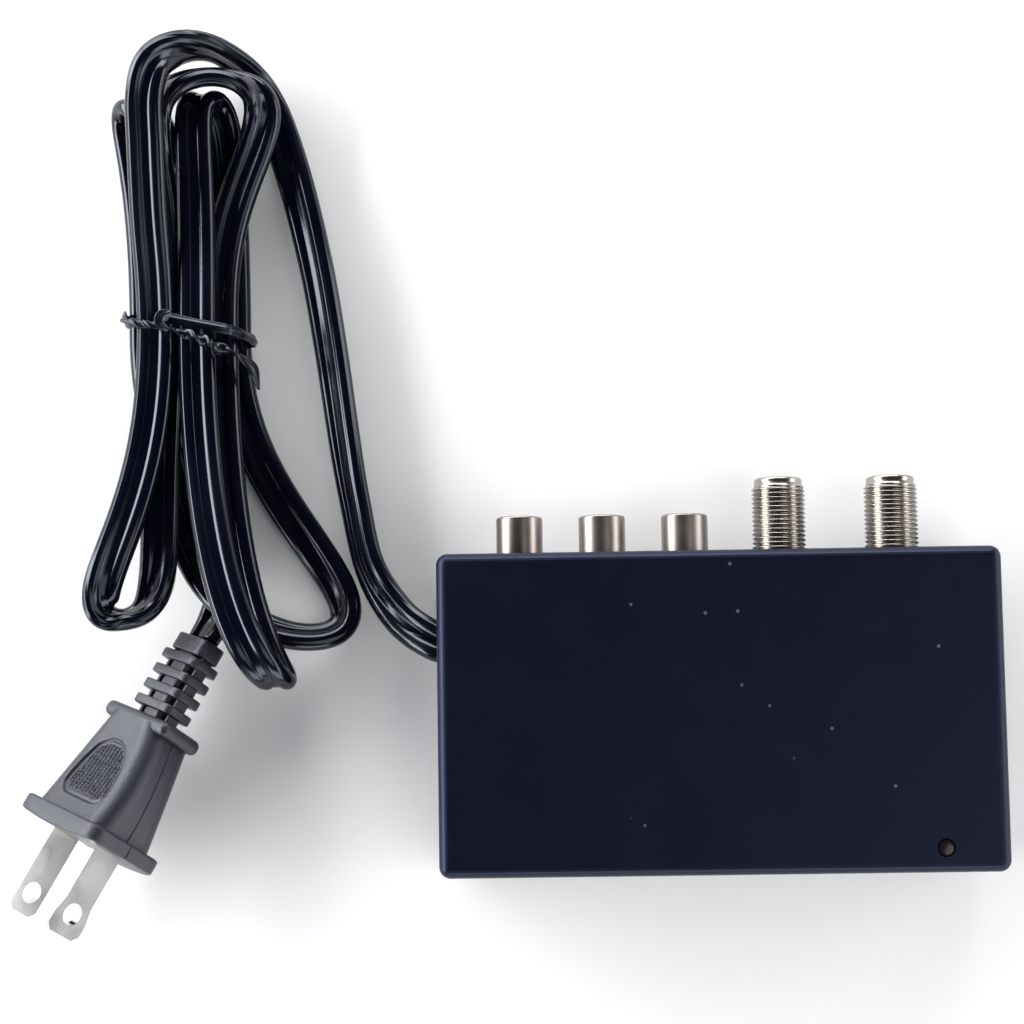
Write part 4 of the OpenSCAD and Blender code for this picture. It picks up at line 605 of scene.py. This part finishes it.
def gripLoft():
    # the waisted grip, with a sunk pad on both broad faces: y drops by the pad's depth, less the ridge,
    # a bell of the distance inside the pad's edge, and less the dots
    low, high = plug["gripSpan"]
    z = np.linspace(low, high, plug["gripRings"])
    share = (z - low) / (high - low)
    width, height = quadratic(plug["gripWidth"], share), quadratic(plug["gripHeight"], share)
    template = ringTemplate(*plug["gripPoints"], seam=True)
    grid = roundedLoft(width, height, plug["gripRound"], z, template)
    a, b = plug["padSpan"]
    half = quadratic(plug["padWidth"], np.clip((z - a) / (b - a), 0, 1)) / 2
    across = half[:, None] - np.abs(grid[..., 0])
    ends = np.broadcast_to(np.minimum(z - a, b - z)[:, None], across.shape)
    bend = plug["padCorner"]
    corner = bend - np.hypot(np.minimum(across - bend, 0), np.minimum(ends - bend, 0))
    inside = np.minimum(np.minimum(across, ends), corner)
    sunk = ease(-plug["padRim"] / 2, plug["padRim"] / 2, inside)
    ridge = plug["ridgeHeight"] * np.exp(-((inside - plug["ridgePlace"]) / plug["ridgeWidth"]) ** 2)
    dots = plug["dotHeight"] * (dotRelief(grid[..., 0], grid[..., 2]) - plug["dotBaseShare"])
    drop = plug["padDepth"] * sunk - ridge * sunk - dots * ease(*plug["dotField"], inside)
    flat = ease(*plug["padFadeShare"], np.abs(template[:, 3]))
    grid[..., 1] -= np.sign(grid[..., 1]) * drop * flat[None, :]
    return cutSeam(grid)


def facePlate():
    # the flange round the blades; its front bulges by faceBulge * (faceMeanShare - (x / half width)^2)
    width, height, corner, deep = plug["face"]
    template = ringTemplate(*plug["facePoints"], seam=True)
    grid = roundedPlate(width, height, corner, -deep, 0, plug["faceEdge"], template)
    front = ease(-deep / 2, 0, grid[..., 2])
    grid[..., 2] += front * plug["faceBulge"] * (plug["faceMeanShare"] - (grid[..., 0] / (width / 2)) ** 2)
    return cutSeam(grid)


def turned(grid, angle):
    # turned about the plug's own z: (c x - s y, s x + c y, z) with the angle's cosine c and sine s
    c, s = np.cos(radians(angle)), np.sin(radians(angle))
    x, y, z = grid[..., 0], grid[..., 1], grid[..., 2]
    return np.stack([c * x - s * y, s * x + c * y, z], -1)


def plugShells():
    # grip, face and stop, then the ribbed relief: a bar and two rails carry the ribs and end in the collar;
    # rib n lies n pitches behind the stop and is turned by n twists
    small = ringTemplate(*plug["smallPoints"])
    stop = roundedPlate(*plug["stop"], *plug["stopSpan"], plug["stopEdge"], small)
    low, high = plug["collarSpan"][1] - plug["overlap"], plug["stopSpan"][0] + plug["overlap"]
    reliefZ = np.linspace(low, high, plug["reliefRings"])
    bar = roundedLoft(*plug["bar"], reliefZ, small)
    rail = roundedLoft(*plug["rail"], reliefZ, small)
    rails = [rail + [side * plug["railPlace"], 0, 0] for side in (-1, 1)]
    collar = roundedPlate(*plug["collar"], *plug["collarSpan"], plug["collarEdge"], small)
    relief = [turned(collar, (plug["ribs"] + 1) * plug["ribTwist"])]
    for n in range(1, plug["ribs"] + 1):
        z = plug["stopSpan"][0] - n * plug["ribPitch"]
        rib = roundedPlate(*plug["rib"], z, z + plug["ribThick"], plug["ribEdge"], small)
        relief.append(turned(rib, n * plug["ribTwist"]))
    return [closedSweep(inPlug(g) * mm) for g in (gripLoft(), facePlate(), stop, bar, *rails, *relief)]


plugMoulding = makePiece("plugMoulding", plugShells(), paint["plugVinyl"], sharp=50)
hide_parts("plug_body")
print("plug made")


tie = {
    "y": 65, "width": 1.9, "thickness": 0.34,  # mm
    "slant": -0.2, "slantFrom": -93,  # change of y with x, and the x where there is none
    "bandWire": 0.3, "endWire": 0.22, "wireWidth": 0.45,  # height and width of the wire's bell
    "rimShare": 0.98,  # how far the rims draw in
    "sectionSteps": 17, "bandSteps": 13, "endSteps": 14,
    "soften": 7,  # steps in the running mean
    # x and z of the band round the hank
    "round": [(-107.3, 0.9), (-83.6, 0.9), (-83.3, 4.2), (-84.6, 9), (-87.2, 12.6), (-97, 13.3),
              (-104.6, 12), (-107.4, 4.2)],
    "thinShare": 0.42,  # of the width, beside the knot
    "thinFrom": (0.5, -2), "thinHeight": (6, 10),  # x off the knot and height where it sets in and is full
    "waves": [(0.08, 5, 0), (-0.04, 9, 1)],  # share of the width, how many round the band, start in radians
    # x, y, z and turn in degrees
    "left": [(-98, 64.8, 13.7, 0), (-101, 64.7, 13.5, 200), (-104, 65.4, 12.7, 400),
             (-106.6, 66, 11.3, 600)],
    "right": [(-96.6, 64, 13.6, 0), (-93, 62.3, 13.8, 160), (-90.2, 61.2, 13.5, 340), (-88, 59.9, 12.4, 480),
              (-85.4, 59, 11.2, 560), (-83, 57.2, 9.2, 590), (-82.1, 53.6, 6.8, 600)],
    "knot": [(-97.3, 66.9, 13.4, 80), (-98.5, 66.1, 14.2, 70), (-98.7, 64.9, 14.5, 60),
             (-97.5, 63.8, 13.6, 60)],
    "leftWidths": (1.5, 1.4, 1.4, 0.7), "leftStrand": 0.32,
    "rightWidths": (1.6, 2.2, 2.4, 2.6, 2.8, 2.9, 2.4, 0.5), "rightStrand": 0.25,
    "knotWidths": (1.6, 2.6, 2.6, 1.4),
    # along a twisted end, and how much of its strand it keeps there
    "strandShares": [(0, 0.6), (0.15, 1), (0.6, 1), (0.8, 0.2), (1, 0)],
}


def ribbonSection(width, wire):
    # a thin strip with a round wire along its middle: half the thickness, drawn in at the rims,
    # plus a bell of the wire's height
    s = np.linspace(-1, 1, tie["sectionSteps"])
    rim = np.sqrt(1 - (tie["rimShare"] * s) ** 6)
    half = tie["thickness"] / 2 * rim + wire * np.exp(-(s * width / 2 / tie["wireWidth"]) ** 2)
    upper = np.stack([s * width / 2, half], -1)
    return np.concatenate([upper, upper[::-1] * [1, -1]])


def twistedEnd(points, widths, strand=0.0):
    # a ribbon along the points, turned about its run; strand is how far it keeps from the run
    rolled = smoothRoute(points, tie["endSteps"])
    route, roll = rolled[:, :3], np.radians(rolled[:, 3])
    head = unit(np.gradient(route, axis=0))
    b = squareTo(up, head)
    n = np.cross(head, b)
    wideWay = np.cos(roll)[:, None] * b + np.sin(roll)[:, None] * n
    thinWay = np.cross(head, wideWay)
    share = np.linspace(0, 1, len(route))
    width = np.interp(share, np.linspace(0, 1, len(widths)), widths)
    away = strand * np.interp(share, *np.transpose(tie["strandShares"]))
    base = ribbonSection(2.0, tie["endWire"])
    middle = route + away[:, None] * thinWay
    return (middle[:, None] + (base[:, 0] * width[:, None] / 2)[..., None] * wideWay[:, None]
            + base[:, 1][None, :, None] * thinWay[:, None])


def tieBand():
    # the band round the hank: a running mean rounds the outline's sides, the strip's thickness stands on
    # their normals and its width along y, narrower beside the knot, with shallow waves round it
    outline = np.array(tie["round"], float)
    sides = np.roll(outline, -1, 0) - outline
    share = np.linspace(0, 1, tie["bandSteps"], endpoint=False)[None, :, None]
    path = (outline[:, None] + sides[:, None] * share).reshape(-1, 2)
    kernel = np.ones(tie["soften"]) / tie["soften"]
    laps = np.vstack([path] * 3)
    soft = np.stack([np.convolve(laps[:, n], kernel, "same") for n in range(2)], -1)
    soft = soft[len(path):2 * len(path) + 1]  # the middle lap, with its first point again at the end
    tangent = unit(np.roll(soft, -1, 0) - np.roll(soft, 1, 0))
    normal = np.stack([tangent[:, 1], -tangent[:, 0]], -1)
    base = ribbonSection(tie["width"], tie["bandWire"])
    knotX = tie["knot"][1][0]
    before, after = tie["thinFrom"]
    thin = ease(knotX + before, knotX + after, soft[:, 0]) * ease(*tie["thinHeight"], soft[:, 1])
    s = np.linspace(0, 2 * pi, len(soft), endpoint=False)
    wave = 1 + sum(size * np.sin(count * s + start) for size, count, start in tie["waves"])
    width = wave * (1 - (1 - tie["thinShare"]) * thin)
    high = base[:, 1] + tie["thickness"] / 2
    x = soft[:, None, 0] + normal[:, None, 0] * high
    z = soft[:, None, 1] + normal[:, None, 1] * high
    lean = tie["slant"] * (soft[:, 0] - tie["slantFrom"]) * (1 - thin)
    y = tie["y"] + lean[:, None] + base[:, 0] * width[:, None]
    return np.stack([x, y, z], -1)


otherLeft = [(*point[:3], point[3] + 180) for point in tie["left"]]
tieShells = [
    ringShell(tieBand() * mm),
    closedSweep(twistedEnd(tie["left"], tie["leftWidths"], tie["leftStrand"]) * mm),
    closedSweep(twistedEnd(otherLeft, tie["leftWidths"], tie["leftStrand"]) * mm),
    closedSweep(twistedEnd(tie["right"], tie["rightWidths"], tie["rightStrand"]) * mm),
    closedSweep(twistedEnd(tie["knot"], tie["knotWidths"]) * mm),
]
wireTie = makePiece("wireTie", tieShells, paint["tieVinyl"])
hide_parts("twist_tie")
print("tie made")


sockets = {
    "phonoX": (-34.55, -19.8, -5.05), "aerialX": (11.8, 31.8), "height": 13.5, "panel": 20.25,  # mm
    "phono": {"inner": 3.35, "outer": 4.15, "neck": 4.7, "flange": 5.1, "round": 0.45,
              "back": -3, "wall": -2},
    "aerial": {"inner": 3.5, "crest": 4.7625, "depth": 0.4, "pitch": 0.794, "neck": 5.1, "flange": 5.6,
               "nose": 4.25, "noseLength": 1.4, "round": 0.6, "flangeThick": 1.0,
               # from the neck to the thread and from the thread to the nose, and where the thread fades
               "startGap": 0.05, "noseGap": 0.1, "runIn": 0.1, "runOut": 0.5, "threadRings": 210},
    "neckReach": 0.5, "phonoTip": 8.2, "aerialTip": 14.5,
    "turns": 96,  # points round a barrel
    "arcSteps": 7,  # points of a rim
    "soft": 0.06,  # cut at the corners of a profile
}


def quarterArc(radius, along, size):
    # from the side of a barrel round to its front: radius - size + size * cos, along - size + size * sin
    turn = np.linspace(0, pi / 2, sockets["arcSteps"])
    return [(radius - size + size * c, along - size + size * q) for c, q in zip(np.cos(turn), np.sin(turn))]


def onSocket(r, y, x):
    # a point at radius r and y mm out of the panel, at its own angle round the socket's axis at x
    angle = np.linspace(0, 2 * pi, r.shape[1], endpoint=False)[None, :]
    return np.stack([x + r * np.cos(angle), sockets["panel"] + y, sockets["height"] + r * np.sin(angle)], -1)


def softProfile(corners):
    # each corner of a closed outline becomes two points, soft away from it
    p = np.array(corners, float)
    before, after = np.roll(p, 1, 0) - p, np.roll(p, -1, 0) - p
    stepA = np.minimum(sockets["soft"], np.linalg.norm(before, axis=1) / 3)[:, None]
    stepB = np.minimum(sockets["soft"], np.linalg.norm(after, axis=1) / 3)[:, None]
    return np.stack([p + unit(before) * stepA, p + unit(after) * stepB], 1).reshape(-1, 2)


def aroundAxis(profile):
    # radius and place of each point of the profile, repeated for every angle round the axis
    points = np.array(profile, float)
    return [np.repeat(points[:, n:n + 1], sockets["turns"], axis=1) for n in range(2)]


def phonoShell(x):
    # a sleeve: its closed profile of (radius, place out of the panel) turned about the socket's axis
    d, reach = sockets["phono"], sockets["neckReach"]
    rim = quarterArc(d["outer"], sockets["phonoTip"], d["round"])
    corners = [(d["inner"], d["back"]), (d["flange"], d["back"]), (d["flange"], d["wall"]),
               (d["neck"], d["wall"]), (d["neck"], reach), (d["outer"], reach), *rim,
               (d["inner"], sockets["phonoTip"])]
    return ringShell(onSocket(*aroundAxis(softProfile(corners)), x) * mm)


def aerialShell(x, low):
    # the thread is one helix: the radius is a cosine of the turn, (1 + cos(2 pi turn)) / 2 of the depth.
    # The turn is the place along the axis over the pitch, less the angle's share; it fades at both ends
    d, reach, tip = sockets["aerial"], sockets["neckReach"], sockets["aerialTip"]
    back = low - sockets["panel"]
    start, end = reach + d["startGap"], tip - d["noseLength"]
    y = np.linspace(start, end, d["threadRings"])[:, None]
    angle = np.linspace(0, 1, sockets["turns"], endpoint=False)[None, :]
    turn = (y - start) / d["pitch"] - angle
    crest = (1 + np.cos(2 * pi * turn)) / 2
    fade = ease(start - d["runIn"], start + d["runOut"], y) * ease(end, end - d["runOut"], y)
    thread = d["crest"] - d["depth"] * (1 - (1 - crest) * fade)
    first = softProfile([(d["inner"], back), (d["flange"], back), (d["flange"], back + d["flangeThick"]),
                         (d["neck"], back + d["flangeThick"]), (d["neck"], reach)])
    last = [(d["nose"], end + d["noseGap"]), *quarterArc(d["nose"], tip, d["round"]), (d["inner"], tip)]
    (firstR, firstY), (lastR, lastY) = aroundAxis(first), aroundAxis(last)
    r = np.vstack([firstR, thread, lastR])
    along = np.vstack([firstY, np.tile(y, sockets["turns"]), lastY])
    return ringShell(onSocket(r, along, x) * mm)


sleeveShells = [phonoShell(x) for x in sockets["phonoX"]]
phonoSleeves = makePiece("phonoSleeves", sleeveShells, paint["sleeveNickel"], sharp=35)
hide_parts("rca_sleeves")
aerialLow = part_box("aerial_bodies")[0][1] / mm
barrelShells = [aerialShell(x, aerialLow) for x in sockets["aerialX"]]
aerialBarrels = makePiece("aerialBarrels", barrelShells, paint["nickel"])
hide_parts("aerial_bodies")
print("sockets made")

# the finish of every node that shows as it is
nodeFinish = {
    "casePlastic": ["top_cover", "bottom_cover"],
    "panelPlastic": ["rear_panel", "rca_housing", "cord_clamp"],
    "screwSteel": ["case_screws"],
    "footRubber": ["feet"],
    "bladeNickel": ["plug_blades"],
    "yellowPlastic": ["rca_insulator_yellow"],
    "whitePlastic": ["rca_insulator_white", "aerial_insulators"],
    "redPlastic": ["rca_insulator_red"],
    "contactBrass": ["rca_contacts", "aerial_contacts", "fuse_clips"],
    "tinplate": ["shield_can", "can_lid", "regulator_tab", "led_leads", "fuse_caps", "switch_frame"],
    "board": ["circuit_board", "inner_board"],
    "naturalPlastic": ["coil_former", "transformer_bobbin"],
    "copper": ["coil_winding"],
    "ferrite": ["tuning_core"],
    "blackPlastic": ["switch_slider", "regulator_body", "chip", "rectifier_diodes"],
    "lampEpoxy": ["led_lens"],
    "coreSteel": ["transformer_core"],
    "windingTape": ["primary_winding", "secondary_winding"],
    "capacitorSleeve": ["capacitors"],
    "resistorPaint": ["resistors"],
    "fuseGlass": ["fuse_glass"],
    "cordVinyl": ["inner_cord", "conductors"],
}
for finish, names in nodeFinish.items():
    for name in names:
        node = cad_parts[name]
        node.data.materials.clear()
        node.data.materials.append(paint[finish])
print("nodes painted")


studio = {
    "floor": 1.6,  # metres, half its width
    "floorTones": ((0.82, 0.82, 0.825), (0.85, 0.85, 0.85)), "floorDrift": 0.4, "floorRoughness": 0.8,
    # place in metres, watts, width and height of each soft box
    "boxes": {
        "leftBox": ((-0.80, 0.16, 0.27), 24, (1.6, 0.36)),
        "rightBox": ((0.80, -0.06, 0.27), 8, (1.4, 0.36)),
        "backBox": ((-0.05, 0.90, 0.30), 10, (1.0, 0.36)),
        "frontBox": ((0.10, -0.85, 0.30), 5, (1.0, 0.36)),
        "highBox": ((0.42, -0.24, 0.85), 2.2, (0.6, 0.6)),
    },
    "aim": (-0.03, 0.03, 0.01),  # metres, where they all point
    "skyTone": (0.45, 0.55, 1.0), "sky": 0.03,  # overhead
    "wallTone": (0.92, 0.94, 1.0), "wall": 0.42,  # at the height of the horizon
    "wallTop": 0.5,  # the height of the direction at which the walls end
}


def makeFloor():
    # a matt square under the feet, with a slow drift of its tone
    size = studio["floor"]
    corners = [(-size, -size, 0), (size, -size, 0), (size, size, 0), (-size, size, 0)]
    mesh = bpy.data.meshes.new("floor")
    mesh.from_pydata(corners, [], [(0, 1, 2, 3)])
    material, tree, shader = newMaterial("paleFloor")
    toneA, toneB = studio["floorTones"]
    tone = fillGroup(tree, toneDrift, {
        "Tone A": (*toneA, 1), "Tone B": (*toneB, 1), "Size": studio["floorDrift"]})
    tree.links.new(tone.outputs["Color"], shader.inputs["Base Color"])
    shader.inputs["Roughness"].default_value = studio["floorRoughness"]
    mesh.materials.append(material)
    floor = bpy.data.objects.new("floor", mesh)
    bpy.context.scene.collection.objects.link(floor)


def makeLamp(name, place, power, size):
    # one soft box; its face looks from its place towards the aim
    lamp = bpy.data.lights.new(name, "AREA")
    lamp.energy = power
    lamp.shape = "RECTANGLE"
    lamp.size, lamp.size_y = size
    holder = bpy.data.objects.new(name, lamp)
    holder.location = place
    holder.rotation_euler = (Vector(place) - Vector(studio["aim"])).to_track_quat("Z", "Y").to_euler()
    bpy.context.scene.collection.objects.link(holder)


def makeWorld():
    # dark overhead and pale towards the horizon: the blend falls from 1 to 0 with the direction's height
    world = bpy.data.worlds.new("studio")
    world.use_nodes = True
    tree = world.node_tree
    overhead = tree.nodes["Background"]
    overhead.inputs["Color"].default_value = (*studio["skyTone"], 1)
    overhead.inputs["Strength"].default_value = studio["sky"]
    walls = addNode(tree, "ShaderNodeBackground", {
        "Color": (*studio["wallTone"], 1), "Strength": studio["wall"]})
    aim = addNode(tree, "ShaderNodeTexCoord")
    parts = addNode(tree, "ShaderNodeSeparateXYZ", {"Vector": aim.outputs["Generated"]})
    share = addNode(tree, "ShaderNodeMapRange", {
        "Value": parts.outputs["Z"], "From Min": 0.0, "From Max": studio["wallTop"],
        "To Min": 1.0, "To Max": 0.0,
    }, interpolation_type="SMOOTHSTEP")
    both = addNode(tree, "ShaderNodeMixShader", {
        0: share.outputs[0], 1: overhead.outputs[0], 2: walls.outputs[0]})
    tree.links.new(both.outputs[0], tree.nodes["World Output"].inputs["Surface"])
    bpy.context.scene.world = world


makeFloor()
for name, (place, power, size) in studio["boxes"].items():
    makeLamp(name, place, power, size)
makeWorld()
bpy.context.scene.view_settings.view_transform = "Standard"
print("stage made")
